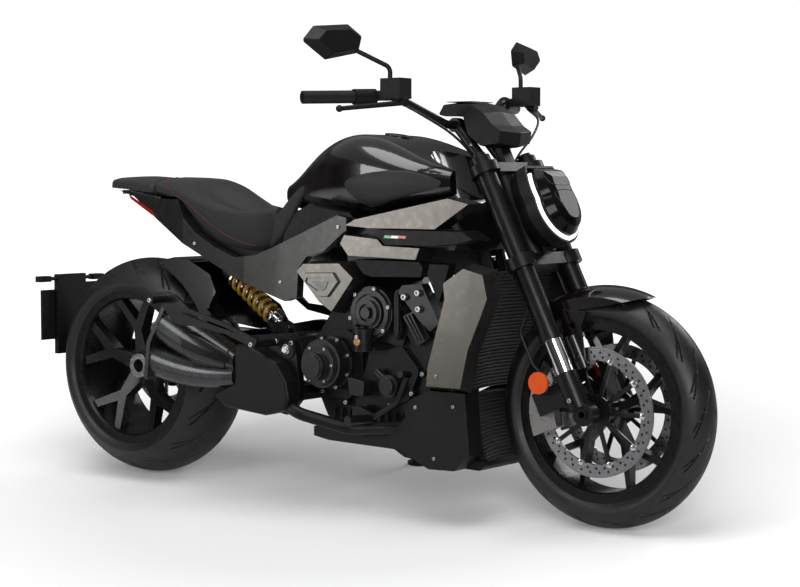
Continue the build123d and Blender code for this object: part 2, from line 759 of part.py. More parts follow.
def engine_covers():
    """Round covers and fittings: clutch, timing, filter and pump on the right, generator and sprocket on the left."""
    face = -engine_half - seat
    clutch = boss((805, 386), 72, -142, face) + boss((805, 386), 66, -186, -141) + boss((801, 384), 56, -196, -185)
    clutch += boss((797, 380), 37, -214, -195) + boss((797, 380), 31, -220, -213)
    for step in range(8):
        turn = radians(45 * step + 20)
        clutch += boss((805 + 69 * cos(turn), 386 + 69 * sin(turn)), 7, -150, face)
    timing = boss((950, 529), 70, -150, face) + boss((950, 529), 62, -158, -149, 50) + boss((950, 529), 44, -164, -149)
    timing += boss((950, 529), 34, -172, -163, 24) + boss((950, 529), 15, -178, -163)
    for step in range(6):
        turn = radians(60 * step + 15)
        timing += boss((950 + 66 * cos(turn), 529 + 66 * sin(turn)), 7, -158, face)
    timing -= Pos(station(932), -163, 456) * Cylinder(31, 80)
    filter_can = Pos(station(932), -163, 426) * Cylinder(27, 50, align=(Align.CENTER, Align.CENTER, Align.MIN))
    filter_can += Pos(station(932), -163, 476) * Cylinder(30, 9, align=(Align.CENTER, Align.CENTER, Align.MIN))
    filter_can += side_plate([(918, 432), (946, 432), (946, 452), (918, 452)], -163, face)
    pump = boss((1012, 336), 30, -158, face) + boss((1012, 336), 22, -168, -157)
    pump += rod(tuple(route([(1012, -148, 336)])[0]), tuple(route([(968, -148, 372)])[0]), 12)
    block = side_plate([(884, 354), (940, 344), (936, 304), (890, 306)], -168, face, 6)
    generator = boss((905, 385), 78, engine_half + seat, 162) + boss((905, 385), 62, 161, 172)
    for step in range(6):
        turn = radians(60 * step)
        generator += boss((905 + 70 * cos(turn), 385 + 70 * sin(turn)), 5.5, engine_half + seat, 168)
    return [clutch, timing, filter_can, pump, block, generator, sprocket_cover()]


def sprocket_cover():
    """Cover over the front sprocket, on two posts from the crankcase."""
    y = chain_y + chain_width / 2 + 4
    sheet = side_plate([(752, 430), (800, 444), (816, 420), (812, 318), (790, 296), (752, 312)], y, y + 8, 12)
    for x, z in [(800, 430), (796, 306)]:
        sheet += boss((x, z), 8, engine_half + seat, y + 1)
    return sheet


def curved_core(half_width, depth, centre_x, bow, z_from, z_to, lean_x):
    """Bowed slab, its sides further forward, drawn along a slanted line."""
    x = station(centre_x)
    front = ThreePointArc((x + bow, -half_width, z_from), (x, 0, z_from), (x + bow, half_width, z_from))
    back = ThreePointArc(
        (x + bow - depth, -half_width, z_from), (x - depth, 0, z_from), (x + bow - depth, half_width, z_from)
    )
    ends = [Line(front @ 0, back @ 0), Line(front @ 1, back @ 1)]
    face = make_face([front, ends[0], back, ends[1]])
    return extrude(face, hypot(lean_x, z_to - z_from), dir=(lean_x, 0, z_to - z_from))


def finned_core(half_width, depth, centre_x, bow, z_from, z_to, lean_x):
    """Cooler core with level fins across its front and a frame down each side."""
    core = curved_core(half_width, depth - fin_depth, centre_x - fin_depth, bow, z_from, z_to, lean_x)
    count = int((z_to - z_from) / fin_pitch)
    slope = lean_x / (z_to - z_from)
    fins = []
    for index in range(count + 1):
        z = z_from + index * (z_to - z_from - fin_thick) / count
        x = centre_x + slope * (z - z_from)
        fins.append(curved_core(half_width, fin_depth + 2, x, bow, z, z + fin_thick, slope * fin_thick))
    return core.fuse(*fins)


def radiator():
    """Upper water radiator, hung from the front frame by two lugs."""
    core = finned_core(radiator_half, 40, 1246, 40, 340, 643, 37)
    top = 700 - seat
    for y in (-40, 28):
        core += side_plate([(1242, 630), (1268, 630), (1248, top), (1222, top)], y, y + 12)
    return core


def oil_cooler():
    """Lower cooler, slanting forward towards the ground."""
    return finned_core(112, 32, 1283, 20, 156 + seat, 322, -52)


def radiator_shields():
    """Side shields of the radiator."""
    right = chiselled(
        [(1296, 670), (1360, 654), (1375, 588), (1311, 444), (1286, 338), (1170, 338), (1175, 391), (1233, 584), (1228, 627)],
        -radiator_half - seat, -214, 16,
    )
    return both_sides(right)


def belly_pan():
    """Pan under the engine, closing the front below the cooler, with a deep guard on each side."""
    lift = engine_bottom - seat
    pan = side_plate(
        [
            (730, 179), (784, 170), (1007, 164), (1041, 146), (1133, 135), (1283, 131), (1300, 144),
            (1297, 156), (1216, 156), (1190, 205), (1060, lift), (860, lift), (730, 205),
        ],
        -124, 124,
    )
    edge = [(1079, 298), (1160, 336), (1276, 336), (1291, 176), (1241, 133), (1161, 131), (1020, 193), (1086, 262)]
    guard = side_plate(edge, -180, -120)
    guard -= side_plate([(900, 142), (1150, 142), (1240, 146), (1280, 180), (1264, 400), (900, 400)], -180 + shield_thick, -100)
    return pan + guard + mirror(guard, Plane.XZ)


def intake_covers():
    """Silver covers of the air intakes, upper and lower on each side."""
    upper = chiselled([(887, 760), (922, 777), (1237, 837), (1305, 822), (1195, 754), (971, 754)], -frame_half - seat, -194, 10)
    lower = chiselled([(896, 738), (1014, 728), (1033, 710), (1161, 706), (1147, 674), (910, 680), (881, 714)], -frame_half - seat, -206, 10)
    return both_sides(upper) + both_sides(lower)


def wings():
    """Black wings between the intake covers."""
    blade = chiselled([(994, 753), (1295, 752), (1329, 731), (1277, 719), (1200, 712), (1034, 712), (1016, 730)], -frame_half - seat, -210, 10)
    return both_sides(blade)


def side_covers():
    """Triangular silver covers over the rear cylinders, each with a raised six-sided boss."""
    face = -engine_half - seat
    cover = chiselled([(737, 660), (876, 665), (930, 622), (848, 520), (801, 546), (712, 637)], face, -188, 12, 4)
    cover += chiselled([(752, 632), (858, 636), (878, 612), (838, 566), (800, 568), (748, 610)], -184, -196, 6, 3)
    cover -= side_plate([(764, 618), (846, 622), (857, 610), (830, 586), (800, 584), (760, 606)], -200, -192, 2)
    return both_sides(cover)


def coolant_hoses():
    """Coolant hose on each side, from the front head down to the crankcase."""
    points = route([(1052.8 - seat, -146, 590), (1034, -146, 590), (1034, -146, 468)])
    points.append((station(1034), -engine_half - seat, 468))
    return both_sides(bent_tube(points, coolant_hose_radius, [12, 12]))


def tank_pads():
    """Matte knee panels on the tank's flanks."""
    pad = side_plate([(877, 874), (887, 882), (1228, 882), (1209, 858), (981, 815), (932, 826)], -203, -190)
    return both_sides(pad - tank())


def seat_frame():
    """Grey seat frame: a long side spar from the tail to the pivot, with an upper arm to the tank."""
    spar = side_plate(
        [
            (-48, 850), (22, 834), (128, 768), (247, 699), (340, 660), (446, 613), (560, 575), (655, 548),
            (700, 560), (706, 640), (735, 672), (800, 690), (870, 742), (938, 770), (846, 787),
            (720, 738), (606, 694), (540, 672), (460, 664), (385, 690), (300, 730), (250, 774), (222, 826), (100, 826),
        ],
        -200, -70,
    )
    spar += side_plate([(-20, 836), (110, 822), (110, 846), (-20, 862)], -80, 0)
    plan = plan_plate(
        [
            (-60, -70), (-60, -92), (250, -134), (500, -152), (880, -168), (880, -144),
            (500, -120), (250, -104), (110, -84), (110, 0), (-20, 0), (-20, -70),
        ],
        400, 950,
    )
    right = (spar & plan) - rider_seat_form(seat) - passenger_seat_form(seat)
    right += boss((852, 756), 10, -150, -frame_back_half - seat)
    frame = right + mirror(right, Plane.XZ)
    frame += boss(shock_top_tube, 12, -118, 118)
    lug_points = [(340, 600), (366, 600), (372, 668), (334, 668)]
    inner = shock_eye_thick / 2 + seat
    lug = side_plate(lug_points, shock_y - inner - 6, shock_y - inner, 6)
    lug += side_plate(lug_points, shock_y + inner, shock_y + inner + 6, 6)
    return frame + lug


def rider_seat_form(margin):
    """Outer form of the rider seat, grown by a margin."""
    rows = [
        (90, 96, 834, 888, 20), (180, 112, 832, 890, 22), (232, 120, 822, 890, 26), (262, 124, 782, 889, 30),
        (310, 130, 742, 884, 34), (389, 134, 702, 856, 36), (470, 136, 680, 810, 34),
        (540, 130, 682, 792, 34), (588, 112, 700, 806, 34),
    ]
    grown = [
        section_x(x, half + margin, low - margin, high + margin, r + margin) for x, half, low, high, r in rows
    ]
    return loft(grown, ruled=True)


def rider_seat():
    """Low rider seat with its hump, seen as one closed cushion."""
    return rider_seat_form(0)


def passenger_seat_form(margin):
    """Outer form of the passenger pad, grown by a margin."""
    rows = [(-118, 62, 872, 887, 7), (-60, 84, 858, 892, 14), (20, 92, 846, 893, 18), (88, 94, 834, 889, 18)]
    grown = [
        section_x(x, half + margin, low - margin, high + margin, r + margin) for x, half, low, high, r in rows
    ]
    return loft(grown, ruled=True)


def passenger_seat():
    """Small pad behind the rider's hump."""
    return passenger_seat_form(0)


def tail_light():
    """Red light under the tail."""
    half = 70 - seat
    lamp = plan_plate([(-58, -half), (-58, half), (-28, half), (-28, -half)], 840, 852)
    face = [(-60, -92 - seat), (250, -134 - seat), (250, -136 - seat), (-60, -94 - seat)]
    strip = plan_plate(face, 760, 860) & side_plate([(1, 838), (9, 826), (128, 771), (106, 793)], -200, -60)
    return [lamp, *both_sides(strip)]


def swingarm():
    """Single-sided swingarm: left arm with the wheel hub, cross box, right stub and pivot tube."""
    arm = side_plate(
        [
            (-50, 380), (60, 404), (330, 440), (520, 474), (690, 462), (736, 418), (700, 376),
            (560, 350), (330, 300), (60, 250), (-50, 268),
        ],
        134, 172, 20,
    )
    arm -= side_plate([(150, 385), (320, 408), (320, 332), (150, 308)], 160, 180, 16)
    arm -= side_plate([(360, 410), (500, 432), (520, 378), (360, 346)], 160, 180, 16)
    hub = disc((0, rear_radius), 74, rear_disc_y + 22, 172)
    box = side_plate([(384, 372), (384, 428), (470, 440), (600, 446), (600, 372), (520, 352)], -122, 134, 12)
    stub = side_plate([(480, 372), (480, 440), (690, 462), (736, 418), (700, 376)], -150, -112, 12)
    pivot = boss((pivot_x, pivot_z), 34, right_plate_y + seat, left_plate_y - seat)
    lug_points = [(530, 430), (590, 430), (578, 476), (560, 484), (542, 476)]
    inner = shock_eye_thick / 2 + seat
    lug = side_plate(lug_points, shock_y - inner - 6, shock_y - inner)
    lug += side_plate(lug_points, shock_y + inner, shock_y + inner + 6)
    bores = boss((pivot_x, pivot_z), pivot_radius + fit, -200, 220)
    bores += disc((0, rear_radius), rear_axle_radius + pivot_fit, 0, 220)
    return arm + hub + box + stub + pivot + lug - bores


def stand_axes():
    """Foot point, leg direction and hinge axis of the side stand."""
    pivot = Vector(station(stand_pivot[0]), stand_pivot[1], stand_pivot[2])
    foot_x = station(stand_foot[0])
    foot = Vector(foot_x, stand_foot[1], ground_height(foot_x, stand_foot[1]))
    leg = (foot - pivot).normalized()
    axis = leg.cross(Vector(*stand_fold).normalized()).normalized()
    return pivot, foot, leg, axis


def stand_clevis():
    """Two ears and a pin that carry the side stand."""
    pivot, _, leg, axis = stand_axes()
    up = (leg + Vector(*stand_fold).normalized()) * -1
    plane = Plane(origin=pivot, x_dir=up.normalized(), z_dir=axis)
    half = stand_eye_thick / 2 + seat
    ear = Circle(stand_eye_radius + 1) + Pos(24, 0) * Rectangle(48, 2 * (stand_eye_radius + 1))
    bridge = Pos(36, 0) * Rectangle(24, 2 * (stand_eye_radius + 1))
    solid = extrude(plane.offset(half) * ear, 7)
    solid += extrude(plane.offset(-half - 7) * ear, 7)
    solid += extrude(plane.offset(-half - 1) * bridge, 2 * half + 2)
    solid += extrude(plane.offset(-half - 7) * Circle(stand_pin_radius), 2 * half + 14)
    return solid


def side_stand():
    """Side stand leg with its pivot eye and foot pad flat on the ground."""
    pivot, foot, leg, axis = stand_axes()
    plane = Plane(origin=pivot, x_dir=leg, z_dir=axis)
    eye = Circle(stand_eye_radius) + Pos(17, 0) * Rectangle(34, 22) - Circle(stand_pin_radius + pivot_fit)
    solid = extrude(plane.offset(-stand_eye_thick / 2) * eye, stand_eye_thick)
    tip = foot - leg * 10
    solid += rod(tuple(pivot + leg * 27), tuple(tip), stand_radius + 1, stand_radius - 2)
    ground = (parked * Pos(*foot)).position
    pad = extrude(Ellipse(38, 24), 8) + extrude(Circle(15), 13)
    pad = Pos(ground.X, ground.Y, 0) * pad
    return solid + parked.inverse() * pad


def pivot_plates():
    """Plates beside the swingarm with the pivot pin through both, and the stand's clevis."""
    points = [(640, 452), (720, 449), (732, 400), (742, 330), (741, 284), (700, 240), (640, 250), (632, 409)]
    left_high = left_plate_y + left_plate_thick
    right = side_plate(points, right_plate_y - right_plate_thick, right_plate_y, 8)
    right -= side_plate([(662, 350), (704, 380), (712, 330), (690, 290), (664, 300)], -230, -186, 6)
    left = side_plate(points, left_plate_y, left_high, 8)
    pin = boss((pivot_x, pivot_z), pivot_radius, right_plate_y - right_plate_thick - 4, left_high)
    pin += boss((pivot_x, pivot_z), 24, right_plate_y - right_plate_thick - 4, right_plate_y - 1)
    back = 742 - seat
    foot = side_plate([(692, 280), (692, 322), (back, 322), (back, 301), (728, 280)], right_plate_y, left_plate_y)
    return right + left + pin + foot + stand_clevis()


def rear_shell(room, thickness, low_angle, high_angle, half_width):
    """Arched shell over the rear tyre, between two angles above the axle."""
    radius = rear_radius + room
    profile = [(-half_width, radius), (half_width, radius), (half_width, radius + thickness), (-half_width, radius + thickness)]
    face = Plane.YZ * outline(profile)
    turned_face = revolve(face, Axis.Y, -(high_angle - low_angle))
    return Pos(0, 0, rear_radius) * Rot(0, 90 - low_angle, 0) * turned_face


def hugger():
    """Guard over the front of the rear tyre, with side walls, a middle web and two legs on the swingarm."""
    shell = rear_shell(12, 5, 28, 68, 108)
    crest = [(132, 645), (189, 657), (245, 651), (330, 610), (352, 560), (322, 512), (282, 500), (230, 560), (170, 612)]
    walls = side_plate(crest, -108, -103) + side_plate(crest, 103, 108)
    roof = side_plate([(132, 645), (189, 657), (245, 651), (245, 646), (189, 652), (134, 640)], -108, 108)
    web = side_plate([(210, 560), (226, 648), (269, 624), (357, 601), (501, 526), (540, 470), (430, 452), (290, 470)], -4, 4)
    leg = side_plate([(282, 500), (296, 470), (396, 430), (430, 434.7), (400, 452), (312, 512)], -108, -102)
    inside = disc((0, rear_radius), rear_radius + 12, -200, 200)
    return shell + (walls + roof + web + leg + mirror(leg, Plane.XZ) - inside)


def shock_frame():
    """Placement with its z axis from the shock's top eye to its bottom eye, and that distance."""
    top = Vector(station(shock_top[0]), shock_y, shock_top[1])
    bottom = Vector(station(shock_bottom[0]), shock_y, shock_bottom[1])
    return Plane(origin=top, z_dir=bottom - top).location, (bottom - top).length


def shock():
    """Shock body with its two eyes and the spring's collars."""
    place, length = shock_frame()
    base = (Align.CENTER, Align.CENTER, Align.MIN)
    body = Cylinder(9, length, align=base) + Pos(0, 0, 26) * Cylinder(15, length - 52, align=base)
    reach = spring_turns * spring_pitch
    room = spring_wire + seat
    for z in (spring_start - room - spring_collar, spring_start + reach + room):
        body += Pos(0, 0, z) * Cylinder(spring_radius + spring_wire + 2, spring_collar, align=base)
    body = place * body
    half = shock_eye_thick / 2
    for eye in (shock_top, shock_bottom):
        body += boss(eye, shock_eye_radius, shock_y - half, shock_y + half)
    return body


def shock_spring():
    """Coil spring round the shock body, drawn as half turns that rise one after another."""
    rise = spring_pitch / 2
    reach = hypot(spring_radius, rise / 2)
    turns = []
    for step in range(2 * spring_turns):
        side = 1 if step % 2 == 0 else -1
        z = step * rise
        turns.append(
            ThreePointArc((side * spring_radius, 0, z), (0, side * reach, z + rise / 2), (-side * spring_radius, 0, z + rise))
        )
    wire = Wire(turns)
    coil = sweep(Plane(origin=wire @ 0, z_dir=wire % 0) * Circle(spring_wire), path=wire)
    place, _ = shock_frame()
    return place * (Pos(0, 0, spring_start) * coil)


def exhaust():
    """Collector on the right, with the header that runs forward under the engine and up to the front bank."""
    back = silencer_front + seat
    y_in = right_plate_y - right_plate_thick - seat
    collector = side_plate(
        [
            (back, 430), (599, 427), (693, 389), (734, 334), (742, 290), (728, 258), (656, 240), (512, 254),
            (462, 286), (back, 322),
        ],
        silencer_y - 26, y_in, 10,
    )
    collector = fillet(collector.faces().sort_by(Axis.Y)[0].edges(), 9) - silencer_form(seat)
    port = Vector(station(1152.7), -60, 459.8)
    out = Vector(0.879, 0, -0.476)
    start = port + out * seat
    bend = port + out * 29
    points = [(start.X, start.Y, start.Z), (bend.X, bend.Y, bend.Z)]
    points += route([(1168, -64, 300), (1150, header_y, 238), (880, header_y, 211), (765, -222, 250), (700, -222, 275)])
    header = bent_tube(points, header_radius, [20, 40, 40, 60, 50])
    return collector + header


def can(centres, sizes, leans, margin):
    """Flattened round can, lofted through sections from its rear end to its front end."""
    sections = []
    for (x, z), (width, height, rounding), tilt in zip(centres, sizes, leans):
        direction = (-cos(radians(tilt)), 0, sin(radians(tilt)))
        plane = Plane(origin=(station(x), silencer_y, z), x_dir=(0, 1, 0), z_dir=direction)
        sections.append(plane * RectangleRounded(width + 2 * margin, height + 2 * margin, rounding + margin))
    return loft(sections)


def silencer_form(margin):
    """Both cans, grown by a margin."""
    upper = can([(283, 476), (410, 420), (silencer_front, 380)], [(116, 110, 44), (108, 98, 40), (60, 44, 16)], (24, 22, 0), margin)
    lower = can([(250, 369), (390, 343), (silencer_front, 340)], [(112, 98, 42), (104, 84, 36), (66, 50, 18)], (7, 5, 0), margin)
    return upper + lower


def silencer():
    """Two short silencers, one above the other, with a bent end plate over both mouths."""
    plate_half = 60
    band = [(324, 531), (312, 537), (246, 424), (233, 320), (246, 314), (259, 420)]
    plate = side_plate(band, silencer_y - plate_half, silencer_y + plate_half, 2)
    body = silencer_form(0) + plate
    for (x, z), tilt in (((283, 476), 24), ((250, 369), 7)):
        out = Vector(-cos(radians(tilt)), 0, sin(radians(tilt)))
        mouth = Vector(station(x), silencer_y, z)
        body -= rod(tuple(mouth + out * 30), tuple(mouth - out * 34), 32)
    return body


def belt_outline(rear_r, front_r):
    """Flat loop round two wheels at the sprockets' places."""
    dx, dz = station(front_sprocket_x), front_sprocket_z - rear_radius
    corners = []
    for turn in tangent_angles(rear_r, front_r):
        ux, uz = cos(turn), sin(turn)
        near = (rear_r * ux, rear_radius + rear_r * uz)
        far = (dx + front_r * ux, rear_radius + dz + front_r * uz)
        corners += [near, far] if len(corners) == 0 else [far, near]
    return (
        outline(corners) + Pos(0, rear_radius) * Circle(rear_r) + Pos(dx, front_sprocket_z) * Circle(front_r)
    )


def tangent_angles(rear_r, front_r):
    """Directions from the sprockets' centres to the chain's upper and lower tangent points."""
    dx, dz = station(front_sprocket_x), front_sprocket_z - rear_radius
    swing = acos((rear_r - front_r) / hypot(dx, dz))
    base = atan2(dz, dx)
    return base + swing, base - swing


def chain_line(rear_r, front_r):
    """Closed pitch line of the chain in its side view."""
    dx, dz = station(front_sprocket_x), front_sprocket_z - rear_radius
    upper, lower = tangent_angles(rear_r, front_r)
    rear = [(rear_r * cos(t), rear_radius + rear_r * sin(t)) for t in (upper, (upper + lower) / 2 + pi, lower)]
    front = [(dx + front_r * cos(t), rear_radius + dz + front_r * sin(t)) for t in (lower, (upper + lower) / 2, upper)]
    return Wire([ThreePointArc(*rear), Line(rear[2], front[0]), ThreePointArc(*front), Line(front[2], rear[0])])


def chain_radius(teeth):
    """Pitch radius of a sprocket."""
    return chain_pitch / 2 / sin(radians(180 / teeth))


def chain():
    """Drive chain: two bands of link plates joined by a roller at every pitch."""
    rear_r, front_r = chain_radius(rear_teeth), chain_radius(front_teeth)
    half = chain_height / 2
    loop = belt_outline(rear_r + half, front_r + half) - belt_outline(rear_r - half, front_r - half)
    inner = chain_width / 2 - chain_plate
    bands = []
    for y_high in (chain_y - inner, chain_y + chain_width / 2):
        plane = Plane(origin=(0, y_high, 0), x_dir=(1, 0, 0), z_dir=(0, -1, 0))
        bands.append(extrude(plane * loop, chain_plate))
    line = chain_line(rear_r, front_r)
    count = 2 * round(line.length / chain_pitch / 2)
    plane = Plane(origin=(0, chain_y + inner, 0), x_dir=(1, 0, 0), z_dir=(0, -1, 0))
    rollers = []
    for index in range(count):
        place = line.position_at(line.length * index / count, position_mode=PositionMode.LENGTH)
        pin = Pos(place.X, place.Y) * RegularPolygon(roller_radius, roller_sides)
        rollers.append(extrude(plane * pin, 2 * inner))
    return [bands[0].fuse(bands[1], *rollers), front_sprocket()]


def front_sprocket():
    """Fixed front sprocket in the chain, on its stub from the crankcase."""
    centre = (station(front_sprocket_x), front_sprocket_z)
    wheel = sprocket(centre, front_teeth, 8, seat, chain_y - 3.5, chain_y + 3.5)
    return wheel + disc(centre, 16, engine_half + seat, chain_y + 6)


def sprocket(centre, teeth, bore, play, y_low, y_high):
    """Toothed wheel whose tips run just inside the chain's rollers."""
    tip = chain_radius(teeth) - roller_radius - play
    root = tip - 4
    points = []
    for tooth in range(teeth):
        for share, radius in ((-0.36, root), (-0.14, tip), (0.14, tip), (0.36, root)):
            turn = radians((tooth + share) * 360 / teeth)
            points.append((centre[0] + radius * cos(turn), centre[1] + radius * sin(turn)))
    plane = Plane(origin=(0, y_high, 0), x_dir=(1, 0, 0), z_dir=(0, -1, 0))
    wheel = extrude(plane * outline(points), y_high - y_low)
    return wheel - disc(centre, bore, y_low - 1, y_high + 1)


def rear_sprocket():
    """Rear sprocket with lightening holes."""
    centre = (0, rear_radius)
    wheel = sprocket(centre, rear_teeth, rear_axle_radius + fit, spin_gap + 0.5, chain_y - 3.5, chain_y + 3.5)
    for step in range(8):
        turn = radians(45 * step)
        place = (centre[0] + 74 * cos(turn), centre[1] + 74 * sin(turn))
        wheel -= disc(place, 15, chain_y - 5, chain_y + 5)
    return wheel


def rear_axle():
    """Hollow rear axle with the big wheel nut on the right and the sprocket nut on the left."""
    centre = (0, rear_radius)
    axle = disc(centre, rear_axle_radius, -rear_nut_face_y, chain_y + 22)
    axle += disc(centre, rear_nut_radius, -rear_nut_face_y, -rear_hub_right_y - seat)
    axle += disc(centre, rear_nut_radius, chain_y + 3.8, chain_y + 18)
    return axle - disc(centre, rear_axle_bore, -300, 300)


def rear_disc():
    """Rear brake disc on the left end of the hub."""
    return brake_disc((0, rear_radius), rear_disc_radius, 30, 48, rear_axle_radius + fit, rear_disc_y, 8)


def plate_arm():
    """Arm from the swingarm round the back of the tyre."""
    hub_edge = -74 - seat
    side = side_plate([(hub_edge, 352), (-356, 400), (-356, 356), (hub_edge, 292)], 138, 150)
    across = side_plate([(-372, 340), (-356, 340), (-356, 560), (-372, 560)], -60, 150)
    across += side_plate([(-372, 560), (-356, 560), (-356, 588), (-372, 588)], -60, 60)
    return side + across


def number_plate():
    """Blank number plate."""
    return side_plate([(-378, 385), (-372.3, 385), (-372.3, 540), (-378, 540)], -112, 112)


def indicators():
    """Turn signals on stalks beside the plate."""
    stalk = rod((-364, -60 - seat, 575), (-364, -92, 575), 6)
    lamp = Pos(-364, -112, 575) * Box(24, 44, 18)
    return both_sides(stalk + lamp)


def rear_caliper():
    """Rear caliper, bolted to the swingarm's hub."""
    centre = (0, rear_radius)
    body = sector(centre, 82, 142, -52, -12, rear_disc_y - 12, rear_disc_y + 22 - seat)
    slot = sector(centre, 60, rear_disc_radius + 3, -62, -2, rear_disc_y - 4, rear_disc_y + 4)
    return body - slot + sector(centre, 56, 96, -46, -18, rear_disc_y + 9, rear_disc_y + 22 - seat)


def footpegs():
    """Rider footpegs on the crankcase with a brake pedal on the right, and passenger pegs."""
    start = -engine_half - 3 - seat
    bracket = side_plate([(925, 280), (955, 280), (1000, 262), (990, 240), (925, 256)], -200, -188, 5)
    bracket += boss((940, 268), 12, -190, start)
    x, = [station(985)]
    peg = rod((x, -199, 252), (x - 6, -290, 256), 12)
    left = mirror(bracket + peg, Plane.XZ)
    pedal = bent_tube(route([(985, -194, 252), (1070, -194, 300), (1106, -194, 380)]), 8, [30])
    pedal += rod(tuple(route([(1106, -190, 376)])[0]), tuple(route([(1108, -232, 380)])[0]), 9)
    return [bracket + peg + pedal, left, *passenger_pegs()]


def passenger_pegs():
    """Passenger peg hangers that run back from the pivot plates."""
    arm = side_plate(
        [
            (289, 565), (340, 571), (374, 561), (427, 524), (562, 491), (676, 452), (664, 428),
            (560, 462), (442, 478), (389, 478), (358, 493),
        ],
        -298, -290, 5,
    )
    arm -= side_plate([(400, 512), (440, 500), (560, 474), (600, 466), (560, 480), (430, 512)], -300, -280)
    reach = right_plate_y - right_plate_thick - seat
    arm += boss((655, 438), 10, -294, reach)
    arm += rod(*route([(330, -294, 548), (330, -352, 548)]), 10)
    left = side_plate(
        [(300, 566), (352, 570), (420, 514), (590, 500), (676, 450), (664, 426), (560, 470), (420, 494), (352, 538), (304, 534)],
        222, 230, 6,
    )
    left += boss((655, 438), 10, left_plate_y + left_plate_thick + seat, 226)
    left += rod(*route([(330, 226, 552), (330, 296, 552)]), 10)
    return [arm, left]


def silencer_cover():
    """Black heat shield that hugs the outside of the upper can."""
    mark = side_plate([(380, 462), (456, 458), (516, 425), (538, 396), (515, 362), (410, 366), (382, 408)], -330, silencer_y - 20, 10)
    return (mark & silencer_form(4)) - silencer_form(seat)


def placed(shapes):
    """Every node parked on its stand, with the origin under the middle of the whole machine."""
    leaned = {name: [parked * solid for solid in group] for name, group in shapes.items()}
    box = Compound(children=[solid for name in outermost for solid in leaned[name]]).bounding_box()
    shift = Pos(-(box.min.X + box.max.X) / 2, -(box.min.Y + box.max.Y) / 2, -box.min.Z)
    return shift, {name: [shift * solid for solid in group] for name, group in leaned.items()}


# The nodes that reach the sides of the whole machine's box
outermost = ("front_tyre", "rear_tyre", "plate_arm", "number_plate", "indicators", "mirrors", "grips")

nodes = {
    "rear_tyre": Pos(0, 0, rear_radius) * tyre(rear_radius, rear_width, rear_drop, rear_rim_width),
    "rear_rim": rear_rim(),
    "rear_disc": rear_disc(),
    "rear_sprocket": rear_sprocket(),
    "rear_axle": rear_axle(),
    "front_tyre": Pos(wheelbase, 0, front_radius) * tyre(front_radius, front_width, front_drop, front_rim_width),
    "front_rim": front_rim(),
    "front_discs": front_discs(),
    "bottom_yoke": bottom_yoke(),
    "top_yoke": top_yoke(),
    "fork_tubes": fork_tubes(),
    "stanchions": stanchions(),
    "fork_feet": fork_feet(),
    "front_axle": front_axle(),
    "front_fender": front_fender(),
    "headlamp_shell": headlamp_shell(),
    "headlamp_lens": headlamp_lens(),
    "light_strip": light_strip(),
    "handlebar": handlebar(),
    "grips": grips(),
    "hand_controls": hand_controls(),
    "mirrors": mirrors(),
    "dash": dash(),
    "front_calipers": front_calipers(),
    "brake_hoses": brake_hoses(),
    "fork_reflectors": fork_reflectors(),
    "main_frame": main_frame(),
    "airbox": airbox(),
    "engine_block": engine_block(),
    "head_covers": head_covers(),
    "engine_covers": engine_covers(),
    "radiator": radiator(),
    "oil_cooler": oil_cooler(),
    "radiator_shields": radiator_shields(),
    "belly_pan": belly_pan(),
    "tank": tank(),
    "tank_pads": tank_pads(),
    "intake_covers": intake_covers(),
    "wings": wings(),
    "side_covers": side_covers(),
    "coolant_hoses": coolant_hoses(),
    "seat_frame": seat_frame(),
    "rider_seat": rider_seat(),
    "passenger_seat": passenger_seat(),
    "tail_light": tail_light(),
    "swingarm": swingarm(),
    "pivot_plates": pivot_plates(),
    "hugger": hugger(),
    "shock": shock(),
    "shock_spring": shock_spring(),
    "exhaust": exhaust(),
    "silencer": silencer(),
    "chain": chain(),
    "plate_arm": plate_arm(),
    "number_plate": number_plate(),
    "indicators": indicators(),
    "rear_caliper": rear_caliper(),
    "footpegs": footpegs(),
    "silencer_cover": silencer_cover(),
    "side_stand": side_stand(),
}

groups = {name: shape if isinstance(shape, list) else [shape] for name, shape in nodes.items()}
origin_shift, machine = placed(groups)

os.makedirs("parts", exist_ok=True)
for name, solids in machine.items():
    export_step(Compound(children=solids), f"parts/{name}.step")
    print(name, round(sum(solid.volume for solid in solids) / 1000), "cm3")
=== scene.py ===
"""Power cruiser motorcycle, dressed around its packed construction model."""

import json
import logging
from collections.abc import Sequence
from dataclasses import dataclass, field
from enum import Enum
from math import atan2, cos, hypot, pi, radians, sin, tan

import bmesh
import bpy
import numpy as np
from mathutils import Matrix, Vector
from mathutils.bvhtree import BVHTree
from mathutils.geometry import tessellate_polygon

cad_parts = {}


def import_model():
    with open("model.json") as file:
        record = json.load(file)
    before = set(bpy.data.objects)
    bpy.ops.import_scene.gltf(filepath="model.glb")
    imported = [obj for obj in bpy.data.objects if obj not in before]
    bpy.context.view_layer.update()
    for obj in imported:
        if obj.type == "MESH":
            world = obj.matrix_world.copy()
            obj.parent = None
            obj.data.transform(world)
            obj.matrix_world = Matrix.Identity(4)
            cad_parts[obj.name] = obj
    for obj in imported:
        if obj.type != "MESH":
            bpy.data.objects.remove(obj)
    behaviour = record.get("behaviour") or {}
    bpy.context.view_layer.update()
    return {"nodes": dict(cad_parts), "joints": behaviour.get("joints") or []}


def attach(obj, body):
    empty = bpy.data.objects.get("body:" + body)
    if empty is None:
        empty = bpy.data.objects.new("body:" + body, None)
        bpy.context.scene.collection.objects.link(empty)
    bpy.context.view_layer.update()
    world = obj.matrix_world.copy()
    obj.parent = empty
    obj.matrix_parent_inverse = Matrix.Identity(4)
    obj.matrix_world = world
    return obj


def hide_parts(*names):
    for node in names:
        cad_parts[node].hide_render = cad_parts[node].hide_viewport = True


logging.basicConfig(level=logging.INFO, format="%(levelname)s %(message)s")
log = logging.getLogger("cruiser")

